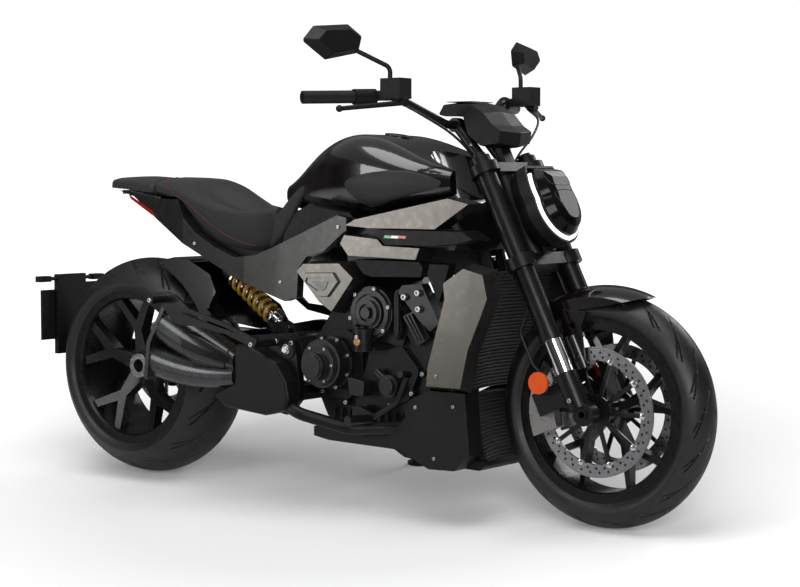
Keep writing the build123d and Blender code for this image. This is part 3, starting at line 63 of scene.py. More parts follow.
Point = tuple[float, float, float]
Colour = tuple[float, float, float]
Outline = tuple[tuple[float, float], ...]
Socket = bpy.types.NodeSocket


class Body(Enum):
    """The bodies that move on their own."""

    CHASSIS = "chassis"
    STEERING = "steering"
    FRONT_WHEEL = "front_wheel"
    REAR_WHEEL = "rear_wheel"
    SIDE_STAND = "side_stand"


class Side(Enum):
    """Side of the machine, as the sign of y."""

    RIGHT = -1
    LEFT = 1


# Attitude and camera


@dataclass(frozen=True)
class Attitude:
    """Carries upright points in millimetres, x forward from the rear axle, to the parked machine."""

    wheelbase: float = 1593.0
    rake: float = 26.0
    trail: float = 112.0
    lean: float = 10.0
    rear_radius: float = 324.0
    front_radius: float = 300.0
    rear_crown: tuple[float, float] = (244.0, 72.0)
    front_crown: tuple[float, float] = (122.0, 46.0)
    rear_axle_at: Point = (0.0, 0.0, 0.0)

    def sag(self, crown: tuple[float, float]) -> float:
        """Drop of an axle when a tyre of that width and crown drop leans."""
        width, drop = crown
        return (width * width / 4 + drop * drop) / (2 * drop) * (1 - cos(radians(self.lean)))

    def turn(self) -> Matrix:
        """Rotation from upright to parked.

        Returns:
            The rotation.
        """
        rear, front = self.sag(self.rear_crown), self.sag(self.front_crown)
        pitch = atan2(rear - front, self.wheelbase)
        return Matrix.Rotation(pitch, 4, "Y") @ Matrix.Rotation(-radians(self.lean), 4, "X")

    def matrix(self) -> Matrix:
        """Full map from upright millimetres to the frame's metres.

        Returns:
            The map.
        """
        turned = self.turn() @ Matrix.Diagonal((0.001, 0.001, 0.001, 1.0))
        offset = Vector(self.rear_axle_at) - turned @ Vector((0, 0, self.rear_radius))
        return Matrix.Translation(offset) @ turned

    def fork(self, n: float, y: float, s: float) -> Point:
        """Upright point from the steering frame: n ahead of the axis and s along it.

        Args:
            n: Distance ahead of the steering axis.
            y: Distance to the left.
            s: Distance along the axis.

        Returns:
            The upright point.
        """
        x0 = self.wheelbase + self.trail - self.front_radius * tan(radians(self.rake))
        c, t = cos(radians(self.rake)), sin(radians(self.rake))
        return (x0 + n * c - s * t, y, self.front_radius + n * t + s * c)


@dataclass(frozen=True)
class Viewpoint:
    """The photograph's camera, in upright millimetres."""

    place: Point = (4032.6, -4122.9, 882.9)
    target: Point = (933.7, 0.0, 572.0)
    lens: float = 85.06

    def build(self, attitude: Attitude) -> None:
        """Adds the camera and makes it the scene's own.

        Args:
            attitude: How the machine stands.
        """
        carry = attitude.matrix()
        data = bpy.data.cameras.new("photo_camera")
        data.lens = self.lens
        data.sensor_width = 36.0
        data.clip_end = 60.0
        camera = bpy.data.objects.new("photo_camera", data)
        ahead = (carry.to_3x3() @ (Vector(self.target) - Vector(self.place))).normalized()
        up = (carry.to_3x3() @ Vector((0, 0, 1))).normalized()
        right = ahead.cross(up).normalized()
        up = right.cross(ahead)
        rotation = Matrix((right, up, -ahead)).transposed().to_4x4()
        camera.matrix_world = Matrix.Translation(carry @ Vector(self.place)) @ rotation
        bpy.context.collection.objects.link(camera)
        bpy.context.scene.camera = camera


# Node helpers


class Sheet:
    """A material's node sheet with short calls for the nodes in use."""

    def __init__(self, name: str) -> None:
        """Makes a new material of that name, with its shader and output.

        Args:
            name: Its name.
        """
        self.material = bpy.data.materials.new(name)
        self.material.use_nodes = True
        self.tree = self.material.node_tree
        self.shader = self.tree.nodes["Principled BSDF"]
        self.place = self.add("ShaderNodeTexCoord").outputs["Object"]

    def add(self, kind: str, **values: object) -> bpy.types.Node:
        """Adds a node and sets its properties.

        Args:
            kind: The node's type.
            values: Properties by name.

        Returns:
            The new node.
        """
        node = self.tree.nodes.new(kind)
        for key, value in values.items():
            setattr(node, key, value)
        return node

    def join(self, source: Socket, target: Socket) -> None:
        """Links two sockets."""
        self.tree.links.new(source, target)

    def stretched(self, scale: Point) -> Socket:
        """Object coordinates with a scale for each axis.

        Args:
            scale: Scale of the pattern.

        Returns:
            The changed coordinates.
        """
        node = self.add("ShaderNodeMapping")
        node.inputs["Scale"].default_value = scale
        self.join(self.place, node.inputs["Vector"])
        return node.outputs["Vector"]

    def noise(
        self, scale: float, detail: float = 3.0, roughness: float = 0.5, vector: Socket | None = None
    ) -> Socket:
        """Noise of a given scale per metre.

        Args:
            scale: Scale of the pattern.
            detail: Levels of detail.
            roughness: Share that the finer levels keep.
            vector: Place to read, or the object coordinates.

        Returns:
            The noise.
        """
        node = self.add("ShaderNodeTexNoise")
        node.inputs["Scale"].default_value = scale
        node.inputs["Detail"].default_value = detail
        node.inputs["Roughness"].default_value = roughness
        self.join(vector or self.place, node.inputs["Vector"])
        return node.outputs["Fac"]

    def ramp(self, value: Socket, low: float, high: float, out_low: float, out_high: float) -> Socket:
        """Maps a value from one range to another, clamped.

        Args:
            value: Value to map.
            low: Start of its range.
            high: End of its range.
            out_low: Result at the start.
            out_high: Result at the end.

        Returns:
            The mapped value.
        """
        node = self.add("ShaderNodeMapRange")
        limits = {"From Min": low, "From Max": high, "To Min": out_low, "To Max": out_high}
        for name, number in limits.items():
            node.inputs[name].default_value = number
        self.join(value, node.inputs["Value"])
        return node.outputs["Result"]

    def mix(self, factor: Socket | float, first: Colour | Socket, second: Colour | Socket) -> Socket:
        """Mixes two colours.

        Args:
            factor: Share of the second colour.
            first: First colour.
            second: Second colour.

        Returns:
            The mixed colour.
        """
        node = self.add("ShaderNodeMix", data_type="RGBA")
        if isinstance(factor, float):
            node.inputs[0].default_value = factor
        else:
            self.join(factor, node.inputs[0])
        for index, colour in ((6, first), (7, second)):
            if isinstance(colour, tuple):
                node.inputs[index].default_value = (*colour, 1.0)
            else:
                self.join(colour, node.inputs[index])
        return node.outputs[2]

    def math(self, operation: str, first: Socket | float, second: Socket | float = 0.0) -> Socket:
        """One arithmetic step.

        Args:
            operation: Name of the arithmetic step.
            first: First operand.
            second: Second operand.

        Returns:
            The result.
        """
        node = self.add("ShaderNodeMath", operation=operation)
        for index, value in enumerate((first, second)):
            if isinstance(value, (int, float)):
                node.inputs[index].default_value = value
            else:
                self.join(value, node.inputs[index])
        return node.outputs[0]

    def bump(self, height: Socket, strength: float, distance: float, normal: Socket | None = None) -> Socket:
        """Bump from a height, over another normal if there is one.

        Args:
            height: Height to read.
            strength: Strength of the bump.
            distance: Depth of the bump in metres.
            normal: Normal below it, if any.

        Returns:
            The new normal.
        """
        node = self.add("ShaderNodeBump")
        node.inputs["Strength"].default_value = strength
        node.inputs["Distance"].default_value = distance
        self.join(height, node.inputs["Height"])
        if normal:
            self.join(normal, node.inputs["Normal"])
        return node.outputs["Normal"]

    def soft_edge(self, radius: float) -> Socket:
        """Normal that rounds hard edges by a radius in metres.

        Args:
            radius: Radius.

        Returns:
            The rounded normal.
        """
        node = self.add("ShaderNodeBevel", samples=4)
        node.inputs["Radius"].default_value = radius
        return node.outputs["Normal"]

    def edge_mask(self, radius: float) -> Socket:
        """One at convex and concave edges, none on flats.

        Args:
            radius: Radius.

        Returns:
            The mask.
        """
        rounded = self.soft_edge(radius)
        flat = self.add("ShaderNodeNewGeometry").outputs["Normal"]
        node = self.add("ShaderNodeVectorMath", operation="DOT_PRODUCT")
        self.join(rounded, node.inputs[0])
        self.join(flat, node.inputs[1])
        return self.ramp(node.outputs["Value"], 0.98, 0.72, 0.0, 1.0)

    def polar(self, centre: Point, upright: Matrix) -> tuple[Socket, Socket]:
        """Angle and radius about an axle.

        Args:
            centre: The axle's middle in the frame.
            upright: Rotation from upright to parked.

        Returns:
            The angle in radians and the radius in metres.
        """
        shifted = self.add("ShaderNodeVectorMath", operation="SUBTRACT")
        self.join(self.place, shifted.inputs[0])
        shifted.inputs[1].default_value = centre
        turned = self.add("ShaderNodeVectorRotate", rotation_type="EULER_XYZ")
        self.join(shifted.outputs[0], turned.inputs["Vector"])
        turned.inputs["Rotation"].default_value = upright.inverted().to_euler()
        split = self.add("ShaderNodeSeparateXYZ")
        self.join(turned.outputs[0], split.inputs[0])
        x, z = split.outputs["X"], split.outputs["Z"]
        square = self.math("ADD", self.math("MULTIPLY", x, x), self.math("MULTIPLY", z, z))
        return self.math("ARCTAN2", z, x), self.math("SQRT", square)

    def drilled(
        self, angle: Socket, radius: Socket, rows: Sequence[tuple[float, float]], count: int, hole: float
    ) -> Socket:
        """One inside the holes of a drilled disc, none elsewhere.

        Args:
            angle: Angle about the axle.
            radius: Radius from the axle.
            rows: Radius and phase of each row of holes.
            count: Holes in a row.
            hole: Radius of a hole in metres.

        Returns:
            The mask.
        """
        total: Socket | float = 0.0
        for row_radius, phase in rows:
            turns = self.math("ADD", self.math("MULTIPLY", angle, count / (2 * pi)), phase + 100.0)
            part = self.math("SUBTRACT", self.math("FRACT", turns), 0.5)
            along = self.math("MULTIPLY", part, 2 * pi * row_radius / count)
            across = self.math("SUBTRACT", radius, row_radius)
            square = self.math("ADD", *(self.math("MULTIPLY", way, way) for way in (along, across)))
            spot = self.ramp(square, (hole * 1.15) ** 2, (hole * 0.9) ** 2, 0.0, 1.0)
            total = self.math("ADD", spot, total)
        return total

    def set(self, **values: float | Colour) -> None:
        """Sets plain shader sockets by their spoken names."""
        names = {
            "metallic": "Metallic", "roughness": "Roughness", "coat": "Coat Weight",
            "coat_rough": "Coat Roughness",
            "ior": "IOR", "specular": "Specular IOR Level", "sheen": "Sheen Weight",
            "sheen_rough": "Sheen Roughness",
            "transmission": "Transmission Weight", "glow": "Emission Strength",
            "glow_colour": "Emission Color",
            "colour": "Base Color", "alpha": "Alpha", "anisotropic": "Anisotropic",
        }
        for key, value in values.items():
            plain = (*value, 1.0) if isinstance(value, tuple) else value
            self.shader.inputs[names[key]].default_value = plain

    def feed(self, name: str, source: Socket) -> None:
        """Links a socket into the shader."""
        self.join(source, self.shader.inputs[name])


# Finishes


@dataclass(frozen=True)
class Finish:
    """A plain surface: base colour with mottling, grain, rounded edges and lighter edges, part edge wear and
    part painted highlight.
    """

    name: str
    colour: Colour
    roughness: float = 0.5
    metallic: float = 0.0
    coat: float = 0.0
    mottle: float = 0.15
    grain: float = 0.15
    grain_scale: float = 900.0
    patch_scale: float = 9.0
    edge: float = 0.0012
    edge_wear_and_highlight: float = 0.0
    specular: float = 0.5

    def build(self) -> bpy.types.Material:
        """Makes the material.

        Returns:
            The finished procedural material.
        """
        sheet = Sheet(self.name)
        sheet.set(metallic=self.metallic, coat=self.coat, coat_rough=0.04, specular=self.specular)
        patches = sheet.noise(self.patch_scale, 4.0, 0.6)
        dark = tuple(c * (1 - self.mottle) for c in self.colour)
        light = tuple(min(1.0, c * (1 + self.mottle)) for c in self.colour)
        tone = sheet.mix(sheet.ramp(patches, 0.3, 0.7, 0.0, 1.0), dark, light)
        if self.edge_wear_and_highlight:
            # Edges lightened in colour, concave ones too: part edge wear, part painted highlight.
            wear_and_highlight_mask = sheet.math("MULTIPLY", sheet.edge_mask(self.edge * 1.6), self.edge_wear_and_highlight)
            tone = sheet.mix(wear_and_highlight_mask, tone, tuple(min(1.0, c * 2.5 + 0.12) for c in self.colour))
        sheet.feed("Base Color", tone)
        low, high = self.roughness * 0.85, min(1.0, self.roughness * 1.18)
        sheet.feed("Roughness", sheet.ramp(sheet.noise(self.patch_scale * 6, 5.0, 0.65), 0.3, 0.7, low, high))
        normal = sheet.soft_edge(self.edge)
        sheet.feed("Normal", sheet.bump(sheet.noise(self.grain_scale, 2.0), self.grain, 0.0004, normal))
        return sheet.material


@dataclass(frozen=True)
class GlossPaint:
    """Deep black lacquer with a trace of dark red flake under a clear coat."""

    name: str = "black_lacquer"
    colour: Colour = (0.0022, 0.0014, 0.0016)
    flake: Colour = (0.03, 0.0025, 0.006)
    edge: float = 0.0015

    def build(self) -> bpy.types.Material:
        """Makes the lacquer.

        Returns:
            The finished material.
        """
        sheet = Sheet(self.name)
        sheet.set(metallic=0.0, roughness=0.22, coat=1.0, coat_rough=0.03, specular=0.3)
        flakes = sheet.add("ShaderNodeTexVoronoi", feature="F1")
        flakes.inputs["Scale"].default_value = 1400.0
        sheet.join(sheet.place, flakes.inputs["Vector"])
        glint = sheet.ramp(flakes.outputs["Distance"], 0.0, 0.35, 0.6, 0.0)
        sheet.feed("Base Color", sheet.mix(glint, self.colour, self.flake))
        wave = sheet.noise(160.0, 2.0)
        sheet.feed("Normal", sheet.bump(wave, 0.02, 0.0006, sheet.soft_edge(self.edge)))
        return sheet.material


@dataclass(frozen=True)
class TyreRubber:
    """Road rubber: near black, with fine dust and patchy roughness."""

    name: str = "tyre_rubber"
    colour: Colour = (0.0055, 0.0055, 0.006)
    dust: Colour = (0.013, 0.0125, 0.012)

    def build(self) -> bpy.types.Material:
        """Makes the rubber.

        Returns:
            The finished material.
        """
        sheet = Sheet(self.name)
        sheet.set(roughness=0.45, specular=0.4)
        spots = sheet.ramp(sheet.noise(60.0, 6.0, 0.7), 0.42, 0.75, 0.0, 0.7)
        sheet.feed("Base Color", sheet.mix(spots, self.colour, self.dust))
        sheet.feed("Roughness", sheet.ramp(sheet.noise(22.0, 4.0), 0.3, 0.7, 0.38, 0.55))
        sheet.feed("Normal", sheet.bump(sheet.noise(1500.0, 3.0), 0.25, 0.0003))
        return sheet.material


@dataclass(frozen=True)
class Brushed:
    """Brushed or turned metal, its grain along one axis of the machine or round an axle."""

    name: str
    colour: Colour
    roughness: float = 0.3
    metallic: float = 1.0
    grain: Point = (40.0, 900.0, 900.0)
    centre: Point | None = None
    edge: float = 0.0008
    tint: Colour | None = None
    upright: Matrix | None = None
    rows: tuple[tuple[float, float], ...] = ()
    holes: int = 30
    carrier: float = 0.0

    def build(self) -> bpy.types.Material:
        """Makes the metal.

        Returns:
            The finished material.
        """
        sheet = Sheet(self.name)
        sheet.set(metallic=self.metallic, specular=0.5)
        if self.centre:
            shifted = sheet.add("ShaderNodeVectorMath", operation="SUBTRACT")
            sheet.join(sheet.place, shifted.inputs[0])
            shifted.inputs[1].default_value = self.centre
            length = sheet.add("ShaderNodeVectorMath", operation="LENGTH")
            sheet.join(shifted.outputs[0], length.inputs[0])
            line = sheet.add("ShaderNodeTexNoise", noise_dimensions="1D")
            line.inputs["Scale"].default_value = 1400.0
            line.inputs["Detail"].default_value = 3.0
            sheet.join(length.outputs["Value"], line.inputs["W"])
            lines = line.outputs["Fac"]
        else:
            lines = sheet.noise(1.0, 3.0, 0.6, sheet.stretched(self.grain))
        dark = tuple(c * 0.72 for c in self.colour)
        light = tuple(min(1.0, c * 1.15) for c in self.colour)
        tone = sheet.mix(sheet.ramp(lines, 0.3, 0.7, 0.0, 1.0), dark, light)
        if self.tint:
            tone = sheet.mix(sheet.ramp(sheet.noise(7.0, 3.0), 0.45, 0.72, 0.0, 0.7), tone, self.tint)
        if self.rows:
            angle, radius = sheet.polar(self.centre, self.upright)
            # Painted shade: the drilled holes are near-black, non-metallic spots standing in for the dark
            # seen through holes that the disc lacks; the carrier inside its radius is black in its own right.
            hole = sheet.drilled(angle, radius, self.rows, self.holes, 0.0035)
            inside = sheet.ramp(radius, self.carrier, self.carrier + 0.0005, 1.0, 0.0)
            hole_shade_and_carrier = sheet.math("MAXIMUM", hole, inside)
            tone = sheet.mix(hole_shade_and_carrier, tone, (0.005, 0.005, 0.005))
            sheet.feed("Metallic", sheet.ramp(hole_shade_and_carrier, 0.0, 1.0, self.metallic, 0.0))
        sheet.feed("Base Color", tone)
        sheet.feed("Roughness", sheet.ramp(lines, 0.3, 0.7, self.roughness * 0.75, self.roughness * 1.25))
        sheet.feed("Normal", sheet.bump(lines, 0.12, 0.0002, sheet.soft_edge(self.edge)))
        return sheet.material


@dataclass(frozen=True)
class Leather:
    """Grained seat cover with creases and a soft sheen."""

    name: str = "seat_leather"
    colour: Colour = (0.013, 0.0127, 0.013)

    def build(self) -> bpy.types.Material:
        """Makes the cover.

        Returns:
            The finished material.
        """
        sheet = Sheet(self.name)
        sheet.set(specular=0.25, sheen=0.06, sheen_rough=0.5)
        pores = sheet.add("ShaderNodeTexVoronoi", feature="DISTANCE_TO_EDGE")
        pores.inputs["Scale"].default_value = 620.0
        sheet.join(sheet.place, pores.inputs["Vector"])
        cells = sheet.ramp(pores.outputs["Distance"], 0.0, 0.18, 0.0, 1.0)
        crease = sheet.noise(45.0, 5.0, 0.7)
        # Darker along the grain's sunken lines and lighter where the creases rise, both following the bump.
        raised_tone, deep = (tuple(c * share for c in self.colour) for share in (1.5, 0.6))
        tone = sheet.mix(sheet.ramp(crease, 0.35, 0.7, 0.0, 1.0), self.colour, raised_tone)
        sheet.feed("Base Color", sheet.mix(cells, deep, tone))
        sheet.feed("Roughness", sheet.ramp(crease, 0.3, 0.7, 0.42, 0.6))
        fine = sheet.bump(cells, 0.35, 0.0004)
        sheet.feed("Normal", sheet.bump(crease, 0.15, 0.0015, fine))
        return sheet.material


@dataclass(frozen=True)
class Glass:
    """Smoked lens or mirror glass."""

    name: str
    colour: Colour
    transmission: float
    roughness: float = 0.02
    metallic: float = 0.0
    specular: float = 0.5

    def build(self) -> bpy.types.Material:
        """Makes the glass.

        Returns:
            The finished material.
        """
        sheet = Sheet(self.name)
        sheet.set(
            metallic=self.metallic, transmission=self.transmission, ior=1.5, colour=self.colour,
            specular=self.specular,
        )
        sheet.feed(
            "Roughness", sheet.ramp(sheet.noise(30.0, 3.0), 0.3, 0.7, self.roughness, self.roughness + 0.03)
        )
        return sheet.material


@dataclass(frozen=True)
class PlateFace:
    """Blank number plate: pale to the rear, dark on its back."""

    name: str = "plate_blank"
    pale: Colour = (0.5, 0.5, 0.51)
    dark: Colour = (0.006, 0.006, 0.006)

    def build(self) -> bpy.types.Material:
        """Makes the plate's material.

        Returns:
            The finished material.
        """
        sheet = Sheet(self.name)
        sheet.set(specular=0.3)
        facing = sheet.add("ShaderNodeSeparateXYZ")
        sheet.join(sheet.add("ShaderNodeNewGeometry").outputs["Normal"], facing.inputs[0])
        rearward = sheet.ramp(facing.outputs["X"], -0.6, -0.8, 0.0, 1.0)
        sheet.feed("Base Color", sheet.mix(rearward, self.dark, self.pale))
        sheet.feed("Roughness", sheet.ramp(sheet.noise(40.0, 4.0), 0.3, 0.7, 0.35, 0.5))
        return sheet.material


@dataclass(frozen=True)
class Glow:
    """Light guide, lit from within."""

    name: str
    colour: Colour
    strength: float

    def build(self) -> bpy.types.Material:
        """Makes the light guide.

        Returns:
            The finished material.
        """
        sheet = Sheet(self.name)
        sheet.set(roughness=0.35, colour=self.colour, glow_colour=self.colour, glow=self.strength)
        frost = sheet.ramp(sheet.noise(80.0, 2.0), 0.3, 0.7, 0.25, 0.45)
        sheet.feed("Roughness", frost)
        return sheet.material


class Palette:
    """Every finish of the machine, built once on first use."""

    def __init__(self, attitude: Attitude) -> None:
        """Lists the finishes; the turned ones are centred on their axles.

        Args:
            attitude: How the machine stands.
        """
        carry = attitude.matrix()
        front = tuple(carry @ Vector((attitude.wheelbase, 0, attitude.front_radius)))
        rear = tuple(carry @ Vector((0, 0, attitude.rear_radius)))
        turn = attitude.turn()
        rows = ((0.152, 0.0), (0.141, 0.35), (0.13, 0.7), (0.119, 1.05))
        rear_rows = ((0.122, 0.0), (0.111, 0.35), (0.1, 0.7))
        finishes = [
            GlossPaint(),
            TyreRubber(),
            Leather(),
            Finish("satin_black", (0.0035, 0.0035, 0.004), 0.36, 0.0, 0.05, edge_wear_and_highlight=0.1, specular=0.22),
            Finish(
                "cast_black", (0.0045, 0.0045, 0.005), 0.42, 0.1, 0.0, 0.25, 0.35, 700.0, edge_wear_and_highlight=0.25,
                specular=0.2,
            ),
            Finish(
                "cast_grey", (0.02, 0.02, 0.021), 0.4, 0.5, 0.0, 0.25, 0.4, 650.0, edge_wear_and_highlight=0.35, specular=0.3
            ),
            Finish(
                "cover_black", (0.011, 0.011, 0.012), 0.34, 0.4, 0.1, 0.2, 0.25, 700.0, edge_wear_and_highlight=0.5,
                specular=0.35,
            ),
            Finish("gunmetal", (0.115, 0.107, 0.096), 0.3, 0.95, 0.1, 0.05, 0.015, 400.0, edge=0.0008),
            Finish(
                "grained_plastic", (0.0045, 0.0045, 0.005), 0.45, 0.0, 0.0, 0.12, 0.4, 1100.0, specular=0.2
            ),
            Finish("smooth_plastic", (0.005, 0.005, 0.0055), 0.22, 0.0, 0.3, 0.1, 0.1, 900.0, specular=0.35),
            Finish(
                "frame_grey", (0.035, 0.034, 0.033), 0.3, 0.8, 0.1, 0.12, 0.03, 400.0, edge=0.001, edge_wear_and_highlight=0.15
            ),
            Finish("hose_rubber", (0.006, 0.006, 0.0065), 0.45, 0.0, 0.0, 0.2, 0.3, 800.0, specular=0.35),
            Finish("spring_gold", (0.62, 0.36, 0.035), 0.3, 0.35, 0.6, 0.08, 0.05, 500.0),
            PlateFace(),
            Finish("amber_moulding", (0.6, 0.07, 0.005), 0.22, 0.0, 0.5, 0.12, 0.25, 300.0),
            Finish("red_moulding", (0.25, 0.006, 0.006), 0.22, 0.0, 0.4, 0.15, 0.05, 300.0),
            Finish("core_black", (0.008, 0.008, 0.0085), 0.42, 0.3, 0.0, 0.2, 0.4, 500.0),
            Finish("caliper_dark", (0.27, 0.26, 0.25), 0.3, 0.85, 0.1, 0.15, 0.2, 600.0, edge_wear_and_highlight=0.3),
            Finish("wing_black", (0.0035, 0.003, 0.0032), 0.4, 0.0, 0.0, 0.1, 0.1, 900.0, specular=0.2),
            Finish("badge_satin", (0.16, 0.155, 0.15), 0.4, 0.8, 0.0, 0.1, 0.2, 1500.0, edge=0.0006),
            Brushed("bright_steel", (0.62, 0.62, 0.63), 0.22),
            Brushed("stanchion_chrome", (0.72, 0.72, 0.74), 0.09, grain=(900.0, 900.0, 30.0)),
            Brushed("bolt_steel", (0.42, 0.42, 0.43), 0.3),
            Finish("silencer_steel", (0.06, 0.061, 0.063), 0.27, 0.9, 0.1, 0.12, 0.02, 400.0, edge=0.001),
            Brushed(
                "front_disc_steel", (0.4, 0.4, 0.41), 0.26, centre=front, upright=turn, rows=rows, holes=36,
                carrier=0.128,
            ),
            Brushed(
                "rear_disc_steel", (0.36, 0.36, 0.37), 0.28, centre=rear, upright=turn, rows=rear_rows,
                holes=30,
            ),
            Finish(
                "spoke_black", (0.0045, 0.0045, 0.005), 0.28, 0.0, 0.1, 0.1, 0.05, 600.0, edge=0.0009,
                edge_wear_and_highlight=0.35, specular=0.2,
            ),
            Finish("stitch_red", (0.2, 0.012, 0.014), 0.6, 0.0, 0.0, 0.2, 0.3, 2500.0, edge=0.0003),
            Finish("stripe_green", (0.02, 0.3, 0.06), 0.3, 0.0, 0.5, 0.05, 0.05, 600.0),
            Finish("stripe_white", (0.75, 0.75, 0.75), 0.3, 0.0, 0.5, 0.05, 0.05, 600.0),
            Finish("stripe_red", (0.5, 0.015, 0.015), 0.3, 0.0, 0.5, 0.05, 0.05, 600.0),
            Finish("pad_grey", (0.018, 0.018, 0.0185), 0.5, 0.0, 0.0, 0.1, 0.5, 1500.0, specular=0.3),
            Finish("tank_fluid", (0.32, 0.15, 0.02), 0.2, 0.0, 0.4, 0.2, 0.05, 300.0),
            Brushed("chain_steel", (0.24, 0.235, 0.22), 0.34),
            Glass("smoked_glass", (0.003, 0.003, 0.004), 0.0, 0.12, specular=0.12),
            Glass("mirror_glass", (0.6, 0.62, 0.65), 0.0, 0.01, 1.0),
            Glow("running_light", (0.95, 0.97, 1.0), 1.0),
        ]
        self.finishes = {finish.name: finish for finish in finishes}
        self.built: dict[str, bpy.types.Material] = {}

    def get(self, name: str) -> bpy.types.Material:
        """The material of that name."""
        if name not in self.built:
            self.built[name] = self.finishes[name].build()
        return self.built[name]


# Studio


@dataclass(frozen=True)
class Softbox:
    """One soft lamp, placed in the frame's metres and aimed at the machine."""

    name: str
    place: Point
    size: tuple[float, float]
    energy: float
    aim: Point = (0.0, 0.0, 0.55)


@dataclass
class Studio:
    """Pale floor with painted shade round the machine, white surroundings and soft lamps."""

    floor_colour: Colour = (0.74, 0.74, 0.75)
    ambient: float = 0.11
    sky_in_gloss: float = 0.3
    painted_shade_reach: float = 0.8
    far_reach: float = 3.0
    painted_shade_lift: float = 0.1
    flag_radius: float = 7.0
    flag_height: float = 3.2
    lamps: list[Softbox] = field(
        default_factory=lambda: [
            Softbox("overhead", (0.2, -0.6, 3.4), (3.6, 2.2), 95.0),
            Softbox("key", (3.4, -3.2, 2.4), (1.8, 1.8), 110.0),
            Softbox("side", (-2.6, -3.6, 1.7), (1.4, 1.8), 45.0),
            Softbox("far", (1.2, 3.8, 2.2), (2.4, 1.6), 60.0),
        ]
    )

    def build(self) -> None:
        """Makes the floor, the surroundings and the lamps."""
        self.floor()
        self.flags()
        self.surroundings()
        for lamp in self.lamps:
            data = bpy.data.lights.new(lamp.name, "AREA")
            data.shape = "RECTANGLE"
            data.size, data.size_y = lamp.size
            data.energy = lamp.energy
            holder = bpy.data.objects.new(lamp.name, data)
            holder.location = lamp.place
            aim = Vector(lamp.aim) - Vector(lamp.place)
            holder.rotation_euler = aim.to_track_quat("-Z", "Y").to_euler()
            bpy.context.collection.objects.link(holder)
        bpy.context.scene.view_settings.view_transform = "Standard"

    def floor(self) -> None:
        """A wide pale floor that keeps the machine's shadow, with painted shade round the machine."""
        mesh = bpy.data.meshes.new("studio_floor")
        reach = 30.0
        corners = [(-reach, -reach, 0), (reach, -reach, 0), (reach, reach, 0), (-reach, reach, 0)]
        mesh.from_pydata(corners, [], [(0, 1, 2, 3)])
        floor = bpy.data.objects.new("studio_floor", mesh)
        bpy.context.collection.objects.link(floor)
        sheet = Sheet("studio_floor")
        sheet.set(roughness=0.75, specular=0.15)
        tone = sheet.mix(
            sheet.noise(3.0, 3.0), self.floor_colour, tuple(c * 0.985 for c in self.floor_colour)
        )
        sheet.feed("Base Color", tone)
        # Painted shade: the camera sees the floor lifted towards white far off but hardly at all near the
        # machine, so the floor reads darker round the machine on top of its real shadow.
        lift = sheet.add("ShaderNodeLightPath").outputs["Is Camera Ray"]
        away = sheet.add("ShaderNodeVectorMath", operation="LENGTH")
        sheet.join(sheet.place, away.inputs[0])
        level = sheet.ramp(away.outputs["Value"], self.painted_shade_reach, self.far_reach, self.painted_shade_lift, 1.0)
        sheet.shader.inputs["Emission Color"].default_value = (1, 1, 1, 1)
        sheet.feed("Emission Strength", sheet.math("MULTIPLY", lift, level))
        mesh.materials.append(sheet.material)

    def flags(self) -> None:
        """Dark flags all round, seen only in glossy surfaces, so that blacks stay black."""
        steps, rise = 48, 6
        points, faces = [], []
        for level in range(rise + 1):
            share = level / rise
            radius = self.flag_radius * (1 - 0.25 * share * share)
            for step in range(steps):
                turn = 2 * pi * step / steps
                points.append((radius * cos(turn), radius * sin(turn), 0.02 + self.flag_height * share))
        for level in range(rise):
            for step in range(steps):
                a, b = level * steps + step, level * steps + (step + 1) % steps
                faces.append((a, b, b + steps, a + steps))
        mesh = bpy.data.meshes.new("studio_flags")
        mesh.from_pydata(points, [], faces)
        flags = bpy.data.objects.new("studio_flags", mesh)
        bpy.context.collection.objects.link(flags)
        sheet = Sheet("studio_flags")
        sheet.set(roughness=1.0, specular=0.0, colour=(0.02, 0.02, 0.02), glow_colour=(1.0, 1.0, 1.0))
        height = sheet.add("ShaderNodeSeparateXYZ")
        sheet.join(sheet.place, height.inputs[0])
        cloud = sheet.ramp(sheet.noise(0.5, 1.0), 0.35, 0.65, 0.02, 0.14)
        fade = sheet.ramp(height.outputs["Z"], 0.2, self.flag_height, 0.25, 1.0)
        sheet.feed("Emission Strength", sheet.math("MULTIPLY", cloud, fade))
        mesh.materials.append(sheet.material)
        flags.visible_camera = False
        flags.visible_diffuse = False
        flags.visible_transmission = False
        flags.visible_shadow = False

    def surroundings(self) -> None:
        """White where the camera or a lens looks past the machine, light grey in gloss, darker grey for soft
        light.
        """
        world = bpy.data.worlds.new("studio")
        bpy.context.scene.world = world
        world.use_nodes = True
        nodes, links = world.node_tree.nodes, world.node_tree.links
        path = nodes.new("ShaderNodeLightPath")
        seen = nodes.new("ShaderNodeMath")
        seen.operation = "MAXIMUM"
        links.new(path.outputs["Is Camera Ray"], seen.inputs[0])
        links.new(path.outputs["Is Transmission Ray"], seen.inputs[1])
        soft = nodes.new("ShaderNodeMapRange")
        soft.inputs["To Min"].default_value = self.ambient
        soft.inputs["To Max"].default_value = self.sky_in_gloss
        links.new(path.outputs["Is Glossy Ray"], soft.inputs["Value"])
        level = nodes.new("ShaderNodeMapRange")
        level.inputs["To Max"].default_value = 1.0
        links.new(soft.outputs["Result"], level.inputs["To Min"])
        links.new(seen.outputs[0], level.inputs["Value"])
        links.new(level.outputs["Result"], nodes["Background"].inputs["Strength"])
        nodes["Background"].inputs["Color"].default_value = (1, 1, 1, 1)


# Forms


@dataclass
class Form:
    """Upright points and faces of one piece, before it is carried to the frame."""

    points: list[Point] = field(default_factory=list)
    faces: list[tuple[int, ...]] = field(default_factory=list)

    def join(self, other: "Form") -> "Form":
        """Adds another form's points and faces.

        Args:
            other: The form to add.

        Returns:
            This form.
        """
        start = len(self.points)
        self.points += other.points
        self.faces += [tuple(index + start for index in face) for face in other.faces]
        return self

    def mirrored(self) -> "Form":
        """The same form on the other side of the machine."""
        return Form([(x, -y, z) for x, y, z in self.points], [tuple(reversed(face)) for face in self.faces])


